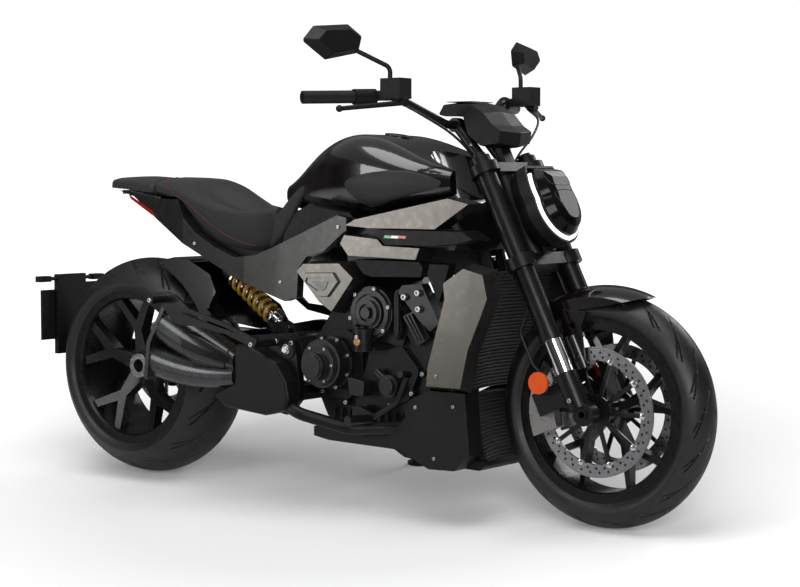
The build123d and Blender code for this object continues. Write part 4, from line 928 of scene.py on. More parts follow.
def smooth_row(knots: Sequence[Sequence[float]], per_span: int) -> list[Vector]:
    """Points along a smooth curve through the knots.

    Args:
        knots: The knots, each with any number of values.
        per_span: Points between two knots.

    Returns:
        The points, ends included.
    """
    rows = [np.array(knot, dtype=float) for knot in knots]
    rows = [2 * rows[0] - rows[1], *rows, 2 * rows[-1] - rows[-2]]
    found = []
    for index in range(1, len(rows) - 2):
        a, b, c, d = rows[index - 1 : index + 3]
        for step in range(per_span):
            t = step / per_span
            found.append(
                0.5 * (
                    2 * b + (c - a) * t + (2 * a - 5 * b + 4 * c - d) * t * t + (3 * b - a - 3 * c + d) * t**3
                )
            )
    found.append(rows[-2])
    return found


def skin(rings: Sequence[Sequence[Point]], capped: bool = True, looped: bool = False) -> Form:
    """Closed skin over rings of equal length, with or without end caps.

    Args:
        rings: Rings of points.
        capped: Whether the ends are closed.
        looped: Whether the last ring joins the first.

    Returns:
        The form.
    """
    count = len(rings[0])
    form = Form([tuple(point) for ring in rings for point in ring])
    last = len(rings) if looped else len(rings) - 1
    for level in range(last):
        base, above = level * count, (level + 1) % len(rings) * count
        for step in range(count):
            after = (step + 1) % count
            form.faces.append((base + step, base + after, above + after, above + step))
    if capped and not looped:
        form.faces.append(tuple(reversed(range(count))))
        form.faces.append(tuple(range((len(rings) - 1) * count, len(rings) * count)))
    return form


def tube(path: Sequence[Point], radius: float, sides: int = 12) -> Form:
    """Round tube along a path.

    Args:
        path: Points along it.
        radius: Radius.
        sides: Sides of its section.

    Returns:
        The form.
    """
    places = [Vector(point) for point in path]
    rings = []
    side = Vector((0, 0, 1))
    for index, place in enumerate(places):
        ahead = (places[min(index + 1, len(places) - 1)] - places[max(index - 1, 0)]).normalized()
        side = side - ahead * side.dot(ahead)
        if side.length < 0.01:
            side = ahead.orthogonal()
        side.normalize()
        other = ahead.cross(side)
        turns = [2 * pi * step / sides for step in range(sides)]
        rings.append([tuple(place + radius * (cos(turn) * side + sin(turn) * other)) for turn in turns])
    return skin(rings)


def lathe(profile: Sequence[tuple[float, float]], centre: tuple[float, float], steps: int = 48) -> Form:
    """Form turned about an axle; the profile is (y, radius) and the centre (x, z).

    Args:
        profile: Points as (y, radius).
        centre: Middle of the form or pattern.
        steps: Points around it.

    Returns:
        The form.
    """
    rings = []
    for y, radius in profile:
        turns = [2 * pi * step / steps for step in range(steps)]
        rings.append([(centre[0] + radius * cos(turn), y, centre[1] + radius * sin(turn)) for turn in turns])
    return skin(rings)


def slab(
    outline: Sequence[tuple[float, float]], y_inner: float, y_outer: float, chamfer: float = 0.0
) -> Form:
    """Plate with an (x, z) outline, its outer edge chamfered.

    Args:
        outline: Outline as (x, z).
        y_inner: Place of the inner face.
        y_outer: Place of the outer face.
        chamfer: Width of the chamfer.

    Returns:
        The form.
    """
    cx = sum(x for x, _ in outline) / len(outline)
    cz = sum(z for _, z in outline) / len(outline)
    size = max(hypot(x - cx, z - cz) for x, z in outline)
    lean = chamfer if y_outer > y_inner else -chamfer
    rows = [(y_inner, 1.0), (y_outer - lean, 1.0), (y_outer, 1 - chamfer / size)]
    rings = [[(cx + (x - cx) * scale, y, cz + (z - cz) * scale) for x, z in outline] for y, scale in rows]
    form = skin(rings, capped=False)
    count = len(outline)
    for base in (0, 2 * count):
        corners = [Vector((x, z, 0)) for x, z in outline]
        form.faces += [tuple(base + index for index in face) for face in tessellate_polygon([corners])]
    return form


@dataclass
class Workshop:
    """Makes pieces from upright forms and lets each ride on its body."""

    attitude: Attitude
    palette: Palette

    def piece(
        self, name: str, body: Body, form: Form, finish: str, slot: str, replaces: Sequence[str] = ()
    ) -> bpy.types.Object:
        """Makes one piece.

        Args:
            name: The piece's own name.
            body: The body that carries it.
            form: Its upright form.
            finish: Name of its finish.
            slot: Material slot of the record that it belongs to; not used.
            replaces: Construction nodes that it stands in for.

        Returns:
            The new object.
        """
        carry = self.attitude.matrix()
        mesh = bpy.data.meshes.new(name)
        mesh.from_pydata([tuple(carry @ Vector(point)) for point in form.points], [], form.faces)
        built = bmesh.new()
        built.from_mesh(mesh)
        bmesh.ops.remove_doubles(built, verts=built.verts, dist=1e-6)
        bmesh.ops.recalc_face_normals(built, faces=built.faces)
        built.to_mesh(mesh)
        built.free()
        return self.adopt(name, body, mesh, finish, slot, replaces)

    def adopt(
        self, name: str, body: Body, mesh: bpy.types.Mesh, finish: str, slot: str,
        replaces: Sequence[str] = (),
    ) -> bpy.types.Object:
        """Takes a finished mesh in the frame as a piece of a body.

        Args:
            name: Its name.
            body: The body that carries it.
            mesh: Its mesh in the frame.
            finish: Name of its finish.
            slot: Material slot of the record; not used.
            replaces: Construction nodes that it stands in for.

        Returns:
            The new object.
        """
        for face in mesh.polygons:
            face.use_smooth = True
        mesh.set_sharp_from_angle(angle=radians(38))
        mesh.materials.clear()
        mesh.materials.append(self.palette.get(finish))
        piece = bpy.data.objects.new(name, mesh)
        bpy.context.collection.objects.link(piece)
        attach(piece, body.value)
        if replaces:
            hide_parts(*replaces)
        log.info("%s: %d faces on %s", name, len(mesh.polygons), body.value)
        return piece


@dataclass(frozen=True)
class Place:
    """Where one copy of a repeated form sits, upright, and how it is turned."""

    at: Point
    up: Point
    ahead: Point = (0.0, 0.0, 1.0)
    size: float = 1.0


class Repeater:
    """Lays copies of one small form on points with Geometry Nodes."""

    def __init__(self, shop: Workshop) -> None:
        """Builds the node tree once; every layer of copies uses it.

        Args:
            shop: Finishes the copies.
        """
        self.shop = shop
        tree = bpy.data.node_groups.new("lay_copies", "GeometryNodeTree")
        face = tree.interface
        face.new_socket("Places", in_out="INPUT", socket_type="NodeSocketGeometry")
        self.pattern = face.new_socket("Pattern", in_out="INPUT", socket_type="NodeSocketObject").identifier
        self.material = face.new_socket(
            "Material", in_out="INPUT", socket_type="NodeSocketMaterial"
        ).identifier
        self.size = face.new_socket("Size", in_out="INPUT", socket_type="NodeSocketFloat").identifier
        face.new_socket("Copies", in_out="OUTPUT", socket_type="NodeSocketGeometry")
        add, link = tree.nodes.new, tree.links.new
        given, made = add("NodeGroupInput"), add("NodeGroupOutput")
        source, lay = add("GeometryNodeObjectInfo"), add("GeometryNodeInstanceOnPoints")
        turn, own_size = add("GeometryNodeInputNamedAttribute"), add("GeometryNodeInputNamedAttribute")
        turn.data_type, own_size.data_type = "FLOAT_VECTOR", "FLOAT"
        turn.inputs["Name"].default_value = "turn"
        own_size.inputs["Name"].default_value = "size"
        euler, scale = add("FunctionNodeEulerToRotation"), add("ShaderNodeMath")
        scale.operation = "MULTIPLY"
        real, paint = add("GeometryNodeRealizeInstances"), add("GeometryNodeSetMaterial")
        link(given.outputs["Places"], lay.inputs["Points"])
        link(given.outputs["Pattern"], source.inputs["Object"])
        link(source.outputs["Geometry"], lay.inputs["Instance"])
        link(turn.outputs["Attribute"], euler.inputs["Euler"])
        link(euler.outputs["Rotation"], lay.inputs["Rotation"])
        link(own_size.outputs["Attribute"], scale.inputs[0])
        link(given.outputs["Size"], scale.inputs[1])
        link(scale.outputs[0], lay.inputs["Scale"])
        link(lay.outputs["Instances"], real.inputs["Geometry"])
        link(real.outputs["Geometry"], paint.inputs["Geometry"])
        link(given.outputs["Material"], paint.inputs["Material"])
        link(paint.outputs["Geometry"], made.inputs["Copies"])
        self.tree = tree

    def lay(
        self, name: str, body: Body, places: Sequence[Place], pattern: Form, finish: str, slot: str
    ) -> bpy.types.Object:
        """Makes one plain mesh of all copies.

        Args:
            name: The new piece's name.
            body: The body that carries it.
            places: Upright places of the copies.
            pattern: The small form, in millimetres about its own seat, z outwards.
            finish: Name of its finish.
            slot: Material slot of the record; not used.

        Returns:
            The finished piece.
        """
        carry, turn = self.shop.attitude.matrix(), self.shop.attitude.turn().to_3x3()
        points = bpy.data.meshes.new(name + "_places")
        points.from_pydata([tuple(carry @ Vector(place.at)) for place in places], [], [])
        points.attributes.new("turn", "FLOAT_VECTOR", "POINT")
        points.attributes.new("size", "FLOAT", "POINT")
        turns, sizes = points.attributes["turn"], points.attributes["size"]
        for index, place in enumerate(places):
            up = (turn @ Vector(place.up)).normalized()
            ahead = turn @ Vector(place.ahead)
            ahead = ahead - up * ahead.dot(up)
            ahead = ahead.normalized() if ahead.length > 0.01 else up.orthogonal().normalized()
            side = up.cross(ahead)
            turns.data[index].vector = Matrix((ahead, side, up)).transposed().to_euler()
            sizes.data[index].value = place.size
        shape = bpy.data.meshes.new(name + "_pattern")
        shape.from_pydata([tuple(0.001 * Vector(point)) for point in pattern.points], [], pattern.faces)
        model = bpy.data.objects.new(name + "_pattern", shape)
        holder = bpy.data.objects.new(name + "_places", points)
        bpy.context.collection.objects.link(model)
        bpy.context.collection.objects.link(holder)
        layer = holder.modifiers.new("copies", "NODES")
        layer.node_group = self.tree
        layer[self.pattern] = model
        layer[self.material] = self.shop.palette.get(finish)
        layer[self.size] = 1.0
        graph = bpy.context.evaluated_depsgraph_get()
        mesh = bpy.data.meshes.new_from_object(holder.evaluated_get(graph))
        mesh.name = name
        holder.modifiers.clear()
        bpy.data.objects.remove(holder)
        bpy.data.objects.remove(model)
        return self.shop.adopt(name, body, mesh, finish, slot)


def socket_screw(radius: float, height: float) -> Form:
    """Cap screw with a six-sided socket.

    Args:
        radius: Radius.
        height: Height of the head.

    Returns:
        The form.
    """
    rows = [(radius, 0.0), (radius, 0.8 * height), (0.86 * radius, height), (0.56 * radius, height)]
    rings = []
    for level, (size, z) in enumerate(rows):
        turns = [2 * pi * step / 12 for step in range(12)]
        rings.append([(size * cos(turn), size * sin(turn), z) for turn in turns])
    hexagon = [0.5 * radius / cos((step * pi / 6) % (pi / 3) - pi / 6) for step in range(12)]
    for z in (height, 0.35 * height):
        rings.append(
            [
                (
                    hexagon[step] * cos(step * pi / 6), hexagon[step] * sin(step * pi / 6), z
                ) for step in range(12)
            ]
        )
    return skin(rings)


# Tyres


@dataclass(frozen=True)
class TreadCut:
    """One slender groove that sweeps from near the middle to the shoulder and repeats round the tyre."""

    start: float
    end: float
    sweep: float
    curve: float
    width: float
    depth: float
    phase: float = 0.0


@dataclass
class TreadedTyre:
    """Tyre with its round crown, grooves and bulged walls."""

    body: Body
    node: str
    centre: tuple[float, float]
    radius: float
    width: float
    drop: float
    rim_width: float
    cuts: tuple[TreadCut, ...]
    repeats: int
    around: int
    across: int
    flange: float = 224.0

    def build(self, shop: Workshop) -> None:
        """Makes the tyre in place of its construction node.

        Args:
            shop: Makes the pieces.
        """
        half = self.width / 2
        crown = (half * half + self.drop * self.drop) / (2 * self.drop)
        reach = atan2(half, crown - self.drop)
        angles = np.linspace(-reach, reach, self.across)
        turns = np.linspace(0, 2 * pi, self.around, endpoint=False)
        lengths = angles * crown
        depth = self.depths(lengths, turns)
        rings = []
        for step, turn in enumerate(turns):
            row = [(-y, r) for y, r in self.wall()]
            for index, angle in enumerate(angles):
                cut = depth[index, step]
                row.append(((crown - cut) * sin(angle), self.radius - crown + (crown - cut) * cos(angle)))
            row += reversed(self.wall())
            rings.append(
                [(self.centre[0] + r * cos(turn), y, self.centre[1] + r * sin(turn)) for y, r in row]
            )
        shop.piece(
            self.node + "_tread", self.body, skin(rings, looped=True), "tyre_rubber", "tyre", [self.node]
        )

    def depths(self, lengths: np.ndarray, turns: np.ndarray) -> np.ndarray:
        """Groove depth over the crown, by arc length across and turn around.

        Args:
            lengths: Arc lengths across the crown.
            turns: Angles around the tyre.

        Returns:
            Depth by arc length and turn.
        """
        pitch = 2 * pi / self.repeats
        side = np.sign(lengths)[:, None]
        out = np.abs(lengths)[:, None]
        total = np.zeros((len(lengths), len(turns)))
        for cut in self.cuts:
            share = np.clip((out - cut.start) / (cut.end - cut.start), 0, 1)
            centre = (cut.sweep * share + cut.curve * share * share) / self.radius
            shift = turns[None, :] - centre + (cut.phase + 0.25 * side) * pitch
            away = np.abs((shift / pitch) % 1.0 - 0.5) * pitch * self.radius
            inside = np.clip((cut.width - away) / (0.5 * cut.width), 0, 1)
            ends = np.clip((out - cut.start) / 6, 0, 1) * np.clip((cut.end - out) / 6, 0, 1)
            total = np.maximum(total, inside * ends * cut.depth)
        return total

    def wall(self) -> list[tuple[float, float]]:
        """Left wall from the bead to the crown's edge, as (y, radius).

        Returns:
            The rows.
        """
        half, bead, low = self.width / 2, self.rim_width / 2, self.flange + 1
        top = self.radius - self.drop
        rows = [(bead, low - 6), (bead + 0.5, low)]
        for out, up in ((0.38, 0.42), (0.45, 0.44), (0.7, 0.62)):
            rows.append((bead * (1 - out) + half * out, low + up * (top - low)))
        return [*rows, (half * 0.985, low + 0.9 * (top - low))]


# Seats


@dataclass
class Cushion:
    """Padded seat skin, lofted through rows of (x, half width, low, shoulder, scoop, crest)."""

    name: str
    node: str
    rows: tuple[tuple[float, float, float, float, float, float], ...]
    per_span: int = 7
    round_ends: float = 10.0

    def section(self, row: Sequence[float]) -> list[Point]:
        """Closed ring at one x, crowned in the middle, with sides that draw in towards the bottom.

        Args:
            row: Sizes of the section.

        Returns:
            The ring.
        """
        x, half, low, shoulder, scoop, crest = row
        side = [
            (0.0, low), (0.55 * half, low), (0.84 * half, low + 2),
            (0.93 * half, low + 0.12 * (shoulder - low)),
            (0.985 * half, low + 0.45 * (shoulder - low)), (half, shoulder - 22),
            (0.975 * half, shoulder - 8),
            (0.9 * half, shoulder + 1), (0.74 * half, 0.45 * shoulder + 0.55 * scoop), (0.5 * half, scoop),
            (0.25 * half, 0.35 * scoop + 0.65 * crest), (0.0, crest),
        ]
        right = [(float(y), float(z)) for y, z in smooth_row(side, 3)]
        ring = [(x, -y, z) for y, z in right] + [(x, y, z) for y, z in reversed(right[1:-1])]
        return ring

    def rings(self) -> list[list[Point]]:
        """All rings, with the first and last drawn in so that the ends are round.

        Returns:
            The rings.
        """
        rows = [tuple(map(float, row)) for row in smooth_row(self.rows, self.per_span)]
        rings = [self.section(row) for row in rows]
        first, last = rows[0][0], rows[-1][0]
        rounded = []
        for row, ring in zip(rows, rings):
            near = min(abs(row[0] - first), abs(row[0] - last), self.round_ends) / self.round_ends
            keep = 1 - 0.16 * (1 - near) ** 2
            cz = (row[2] + row[5]) / 2
            rounded.append([(x, y * keep, cz + (z - cz) * keep) for x, y, z in ring])
        return rounded

    def build(self, shop: Workshop) -> bpy.types.Object:
        """Makes the cushion in place of its construction node.

        Args:
            shop: Makes the pieces.

        Returns:
            The new object.
        """
        form = skin(self.rings())
        piece = shop.piece(self.name, Body.CHASSIS, form, "seat_leather", "seat_cover", [self.node])
        return piece


@dataclass
class Seats:
    """Rider seat with its hump and thigh scoops, passenger pad, and their stitching."""

    rider: Cushion = field(
        default_factory=lambda: Cushion(
            "rider_cushion", "rider_seat",
            (
                (92, 88, 838, 872, 884, 888), (140, 104, 834, 866, 884, 890), (200, 115, 829, 856, 878, 889),
                (251, 123, 792, 842, 868, 887), (310, 129, 746, 822, 838, 881),
                (377, 133, 706, 806, 806, 860),
                (434, 134, 690, 796, 790, 829), (489, 133, 682, 793, 782, 796),
                (540, 127, 684, 799, 784, 786),
                (572, 116, 696, 806, 794, 792), (590, 104, 706, 808, 800, 798),
            ),
        )
    )
    passenger: Cushion = field(
        default_factory=lambda: Cushion(
            "passenger_pad", "passenger_seat",
            (
                (-118, 58, 873, 880, 885, 886), (-100, 68, 868, 880, 888, 890), (-60, 82, 859, 878, 889, 892),
                (-20, 88, 853, 876, 889, 893), (20, 91, 847, 872, 888, 893), (60, 93, 840, 869, 886, 891),
                (87, 93, 835, 867, 884, 889),
            ),
            per_span=5,
        )
    )

    def build(self, shop: Workshop, repeater: Repeater) -> None:
        """Makes both cushions, the seams and the stitches.

        Args:
            shop: Makes the pieces.
            repeater: Lays the copies.
        """
        self.rider.build(shop)
        self.passenger.build(shop)
        self.seams(shop, repeater)

    def seams(self, shop: Workshop, repeater: Repeater) -> None:
        """Red stitching along the lower side seam and across the hump, with a piping below it.

        Args:
            shop: Makes the pieces.
            repeater: Lays the copies.
        """
        rings = self.rider.rings()
        stitch = Form()
        rows = smooth_row([(-2.4, 0, 0.0), (-1.4, 0, 0.8), (0, 0, 1.1), (1.4, 0, 0.8), (2.4, 0, 0.0)], 2)
        stitch.join(tube([tuple(map(float, row)) for row in rows], 0.75, 6))
        places = []
        for side in (-1, 1):
            line = self.seam_line(rings, side)
            piping = Form().join(tube([tuple(point) for point, _ in line], 1.1, 6))
            name = "seam_right" if side < 0 else "seam_left"
            shop.piece(name, Body.CHASSIS, piping, "seat_leather", "seat_cover")
            places += self.stitches(line)
        repeater.lay("seat_stitches", Body.CHASSIS, places, stitch, "stitch_red", "seat_cover")

    def seam_line(self, rings: Sequence[Sequence[Point]], side: int) -> list[tuple[Vector, Vector]]:
        """Seam points with their outward directions, from the hump's back edge down to the front.

        Args:
            rings: Rings of points.
            side: Side of the machine.

        Returns:
            Points and directions.
        """
        line = []
        count = len(rings[0])
        for share_x, share_ring in smooth_row(
            [(0.06, 0.47), (0.075, 0.4), (0.11, 0.31), (0.2, 0.25), (0.34, 0.2), (0.55, 0.165), (0.76, 0.14)],
            12,
        ):
            level = min(int(share_x * (len(rings) - 1)), len(rings) - 2)
            part = share_x * (len(rings) - 1) - level
            where = share_ring * count
            index, rest = int(where), where - int(where)
            corners = [Vector(rings[level + a][(index + b) % count]) for a in (0, 1) for b in (0, 1)]
            low = corners[0].lerp(corners[1], rest)
            high = corners[2].lerp(corners[3], rest)
            out = (corners[1] - corners[0]).cross(corners[2] - corners[0]).normalized()
            point = low.lerp(high, part)
            if out.y * point.y < 0 or (abs(out.y) < 0.2 and out.z < 0):
                out = -out
            if side > 0:
                point, out = Vector((point.x, -point.y, point.z)), Vector((out.x, -out.y, out.z))
            line.append((point + out * 0.4, out))
        return line

    def stitches(self, line: Sequence[tuple[Vector, Vector]]) -> list[Place]:
        """Stitch places at even steps along a seam.

        Args:
            line: Seam points with outward directions.

        Returns:
            The places.
        """
        pitch, travelled, due, places = 7.5, 0.0, 0.0, []
        for (here, out), (after, _) in zip(line, line[1:]):
            step = (after - here).length
            while due <= travelled + step and step > 0:
                point = here.lerp(after, (due - travelled) / step)
                lift = point + out * 0.5
                places.append(Place(tuple(lift), tuple(out), tuple((after - here).normalized())))
                due += pitch
            travelled += step
        return places


# Pieces laid on the construction model


class Surface:
    """A construction node's surface, asked in upright millimetres."""

    def __init__(self, attitude: Attitude, *nodes: bpy.types.Object) -> None:
        """Gathers the faces of the nodes.

        Args:
            attitude: How the machine stands.
            nodes: Construction nodes.
        """
        home = attitude.matrix().inverted()
        points, faces = [], []
        for node in nodes:
            start = len(points)
            points += [home @ (node.matrix_world @ vertex.co) for vertex in node.data.vertices]
            faces += [tuple(start + index for index in face.vertices) for face in node.data.polygons]
        self.tree = BVHTree.FromPolygons(points, faces)

    def hit(self, start: Point, ahead: Point) -> tuple[Vector, Vector] | None:
        """First point met from a start in a direction, with its outward normal.

        Args:
            start: Where the ray starts.
            ahead: Direction of the ray.

        Returns:
            The point and its normal, or nothing.
        """
        place, normal, _, _ = self.tree.ray_cast(Vector(start), Vector(ahead).normalized())
        if place is None:
            return None
        return place, (-normal if normal.dot(Vector(ahead)) > 0 else normal)

    def beside(self, x: float, z: float, side: Side, fallback: float = 150.0) -> tuple[Vector, Vector]:
        """Point on the flank at (x, z), or one on the fallback plane where nothing is met."""
        found = self.hit((x, side.value * 700.0, z), (0, -side.value, 0))
        return found or (Vector((x, side.value * fallback, z)), Vector((0, side.value, 0)))


@dataclass
class LaidPad:
    """Soft-edged pad laid over a flank of the machine."""

    outline: Outline
    lift: float
    sink: float = 2.0
    rings: int = 9
    per_span: int = 5

    def form(self, surface: Surface, side: Side) -> Form:
        """The pad's skin, from its middle out to a rim that dips into the surface.

        Args:
            surface: Surface to lie on.
            side: Side of the machine.

        Returns:
            The pad's form.
        """
        knots = [*self.outline[-1:], *self.outline, *self.outline[:2]]
        edge = [
            tuple(map(float, point)) for point in smooth_row(knots, self.per_span)
        ][self.per_span : -self.per_span]
        cx, cz = sum(x for x, _ in edge) / len(edge), sum(z for _, z in edge) / len(edge)
        rings = []
        for level in range(self.rings, 0, -1):
            share = level / self.rings
            row = []
            for x, z in edge:
                reach = share * (0.4 + 0.6 * share)
                px, pz = cx + (x - cx) * reach, cz + (z - cz) * reach
                found, normal = surface.beside(px, pz, side)
                height = -self.sink if level == self.rings else self.lift * (1 - share**8)
                row.append(tuple(found + normal * height))
            rings.append(row)
        return skin(rings)


@dataclass
class Trim:
    """Small fittings laid on the construction model: pads, screws, stripe, badge, glass and cables."""

    shop: Workshop
    repeater: Repeater
    nodes: dict[str, bpy.types.Object]
    bar_centre: Point = (1155.0, 0.0, 1026.0)
    knee_outline: Outline = (
        (871, 866), (888, 886), (954, 902), (1049, 911), (1125, 908), (1190, 893), (1222, 878),
        (1204, 858), (1136, 845), (1049, 827), (954, 803), (905, 828),
    )
    tongue_rows: tuple[Point, ...] = (
        (548, 716, 30), (578, 738, 29), (612, 778, 24), (648, 822, 18), (676, 850, 12), (692, 863, 5),
    )
    # Outline of the dark sheet that stands in for the shade between tank, seat and frame.
    inner_panel: Outline = (
        (596, 700), (618, 776), (700, 820), (840, 800), (880, 760), (900, 720), (800, 700), (690, 692),
    )
    base_pan: Outline = (
        (223, 812), (274, 783), (336, 744), (413, 711), (540, 705),
        (540, 668), (428, 660), (343, 675), (281, 708), (234, 760),
    )
    crankcase_joint: Outline = ((770, 306), (850, 280), (920, 272), (1000, 282), (1072, 318), (1108, 372))
    stripe_edges: tuple[float, ...] = (1038, 1061, 1084, 1108)
    badge_outline: Outline = ((784, 608), (838, 609), (830, 592), (822, 586), (802, 586), (793, 592))
    pivot: tuple[float, float] = (697, 420)
    fluid_pot: tuple[float, float] = (932, 452)
    mirror_corners: Outline = ((-100, 4), (-62, 40), (48, 44), (92, 14), (78, -28), (-30, -44))
    chain_pitch: float = 15.875
    chain_middle: float = 190.0
    chain_face: float = 8.2
    front_sprocket: tuple[float, float] = (775.0, 368.0)
    rear_teeth: int = 43
    front_teeth: int = 15

    def surface(self, *names: str) -> Surface:
        """Surface of the named nodes."""
        return Surface(self.shop.attitude, *(self.nodes[name] for name in names))

    def build(self) -> None:
        """Makes all the fittings in order."""
        self.pads()
        self.shade_panels_and_pan()
        self.screws()
        self.stripe()
        self.mirror_glass()
        self.lamp_face()
        self.chain_plates()
        self.bobbins()
        self.cables()
        self.tank_cap()

    def pads(self) -> None:
        """Knee pads on the tank and the seat's tongues that run up it."""
        tank = self.surface("tank")
        for side in Side:
            label = side.name.lower()
            pad = LaidPad(self.knee_outline, 3.0).form(tank, side)
            replaced = ["tank_pads"] if side is Side.RIGHT else []
            self.shop.piece(f"knee_pad_{label}", Body.CHASSIS, pad, "pad_grey", "dark_plastic", replaced)
            flap = self.tongue()
            flap = flap if side is Side.LEFT else flap.mirrored()
            self.shop.piece(f"seat_tongue_{label}", Body.CHASSIS, flap, "seat_leather", "seat_cover")

    def tongue(self) -> Form:
        """Left padded tongue that runs from the seat up the tank's rear edge.

        Returns:
            The form.
        """
        rings = []
        path = smooth_row(self.tongue_rows, 6)
        for index, (x, z, half) in enumerate(path):
            ahead = path[min(index + 1, len(path) - 1)] - path[max(index - 1, 0)]
            along = Vector((ahead[0], 0, ahead[1])).normalized()
            across = Vector((along.z, 0, -along.x))
            ring = []
            for step in range(20):
                turn = 2 * pi * step / 20
                reach = half * (abs(cos(turn)) ** 0.6) * (1 if cos(turn) >= 0 else -1)
                out = 9.0 * (abs(sin(turn)) ** 0.7) * (1 if sin(turn) >= 0 else -1)
                ring.append(tuple(Vector((x, 103.0 + out, z)) + across * reach))
            rings.append(ring)
        return skin(rings)

    def shade_panels_and_pan(self) -> None:
        """Dark panels between tank, seat and frame, a sheet of painted shade that closes the view there, and
        the seat's base pan.
        """
        panels = {"inner_panel": (self.inner_panel, 84, 106), "base_pan": (self.base_pan, 84, 104)}
        for name, (outline, inner, outer) in panels.items():
            for side in Side:
                plate = slab(outline, side.value * inner, side.value * outer, 6)
                self.shop.piece(
                    f"{name}_{side.name.lower()}", Body.CHASSIS, plate, "grained_plastic", "dark_plastic"
                )

    def screw_places(
        self, node: str, spots: Sequence[tuple[float, float]], sides: Sequence[Side], size: float = 1.0
    ) -> list[Place]:
        """Places of screws pressed on a node's flank.

        Args:
            node: Node to press on.
            spots: Places as (x, z).
            sides: Sides to press on.
            size: Size of the screws.

        Returns:
            The places.
        """
        surface, places = self.surface(node), []
        for side in sides:
            for x, z in spots:
                found = surface.hit((x, side.value * 700.0, z), (0, -side.value, 0))
                if found:
                    places.append(Place(tuple(found[0]), (0.0, float(side.value), 0.0), size=size))
        return places

    def ring(
        self, centre: tuple[float, float], radius: float, count: int, first: float
    ) -> list[tuple[float, float]]:
        """Spots on a circle in the side view."""
        turns = [radians(first + 360 * step / count) for step in range(count)]
        return [(centre[0] + radius * cos(turn), centre[1] + radius * sin(turn)) for turn in turns]

    def screws(self) -> None:
        """Screws of the engine covers, frame, calipers, discs and plate."""
        both, right, left = (Side.RIGHT, Side.LEFT), (Side.RIGHT,), (Side.LEFT,)
        axle = (self.shop.attitude.wheelbase, self.shop.attitude.front_radius)
        chassis = self.screw_places("engine_covers", self.ring((950, 529), 66, 6, 15), right)
        chassis += self.screw_places("engine_covers", self.ring((805, 386), 69, 8, 20), right, 0.9)
        chassis += self.screw_places("engine_covers", self.ring((801, 384), 50, 6, 0), right, 0.7)
        chassis += self.screw_places("engine_covers", self.ring((905, 385), 70, 6, 0), left)
        chassis += self.screw_places("head_covers", [(1076, 576), (1120, 588), (1122, 546)], both, 1.5)
        chassis += self.screw_places("engine_block", self.crankcase_joint, both, 1.1)
        chassis += self.screw_places(
            "pivot_plates", [(660, 440), (712, 300), (715, 438), (650, 262)], both, 1.3
        )
        chassis += self.screw_places("seat_frame", [(852, 756), (640, 600), (300, 700)], both, 0.9)
        chassis += self.screw_places("belly_pan", [(1120, 290), (1240, 300), (1180, 160)], both, 0.9)
        chassis += self.screw_places("radiator_shields", [(1190, 600), (1210, 380)], both, 0.8)
        chassis += self.screw_places("footpegs", [(330, 548), (655, 438)], right, 1.2)
        screw = socket_screw(5.5, 4.5)
        self.repeater.lay("chassis_screws", Body.CHASSIS, chassis, screw, "bolt_steel", "steel")
        steering = self.screw_places(
            "front_calipers", [(axle[0] - 118, axle[1] + 40), (axle[0] - 118, axle[1] - 40)], both, 1.0
        )
        steering += self.screw_places("fork_feet", [axle, (axle[0] - 30, axle[1] + 34)], both, 1.1)
        for node, s in (("top_yoke", 757.0), ("bottom_yoke", 425.0)):
            surface = self.surface(node)
            for y in (-60.0, -80.0, 60.0, 80.0):
                start, end = self.shop.attitude.fork(260, y, s), self.shop.attitude.fork(60, y, s)
                found = surface.hit(start, tuple(Vector(end) - Vector(start)))
                if found:
                    steering.append(Place(tuple(found[0]), tuple(found[1]), size=0.8))
        self.repeater.lay("steering_screws", Body.STEERING, steering, screw, "bolt_steel", "steel")
        ring = self.screw_places("front_rim", self.ring(axle, 44, 6, 12), both, 0.8)
        self.repeater.lay("front_hub_screws", Body.FRONT_WHEEL, ring, screw, "bolt_steel", "steel")

    def bobbins(self) -> None:
        """Floating bobbins between the front discs and their carriers."""
        axle = (self.shop.attitude.wheelbase, self.shop.attitude.front_radius)
        spots = self.screw_places("front_discs", self.ring(axle, 135, 10, 0), (Side.RIGHT, Side.LEFT), 1.0)
        rings = [(8.0, -0.5), (8.0, 1.4), (6.6, 2.2), (3.0, 2.2), (2.6, 1.0)]
        shape = skin([[(r * cos(pi * k / 6), r * sin(pi * k / 6), z) for k in range(12)] for r, z in rings])
        self.repeater.lay("disc_bobbins", Body.FRONT_WHEEL, spots, shape, "bright_steel", "steel")

    def stripe(self) -> None:
        """Small three-colour stripe on the right wing, blank badge plates and the pivot washer."""
        wings, covers = self.surface("wings"), self.surface("side_covers")
        edges = self.stripe_edges
        for x0, x1, colour in zip(edges, edges[1:], ("green", "white", "red")):
            y = wings.beside((x0 + x1) / 2, 734, Side.RIGHT, 190)[0].y
            flag = slab(((x0, 731), (x0 + 4, 738), (x1 + 4, 737), (x1, 730)), y + 1, y - 0.5)
            self.shop.piece(f"stripe_{colour}", Body.CHASSIS, flag, f"stripe_{colour}", "gloss_black")
        for side in Side:
            y = covers.beside(812, 598, side, 192)[0].y
            plate = slab(self.badge_outline, y - side.value, y + side.value * 2.0, 1.0)
            self.shop.piece(
                f"badge_plate_{side.name.lower()}", Body.CHASSIS, plate, "badge_satin", "gunmetal"
            )
        face = self.surface("pivot_plates").beside(*self.pivot, Side.RIGHT, 204)[0].y
        steps = [(0, 15), (3, 15), (4, 13.5), (4, 9), (7, 8.5), (7, 0.5)]
        washer = lathe([(face - out, radius) for out, radius in steps], self.pivot)
        self.shop.piece("pivot_washer", Body.CHASSIS, washer, "bright_steel", "satin_black")
        window = lathe([(-192, 0.5), (-192, 9), (-190, 11), (-184, 11)], self.fluid_pot, 24)
        self.shop.piece("fluid_window", Body.CHASSIS, window, "tank_fluid", "cast_grey")

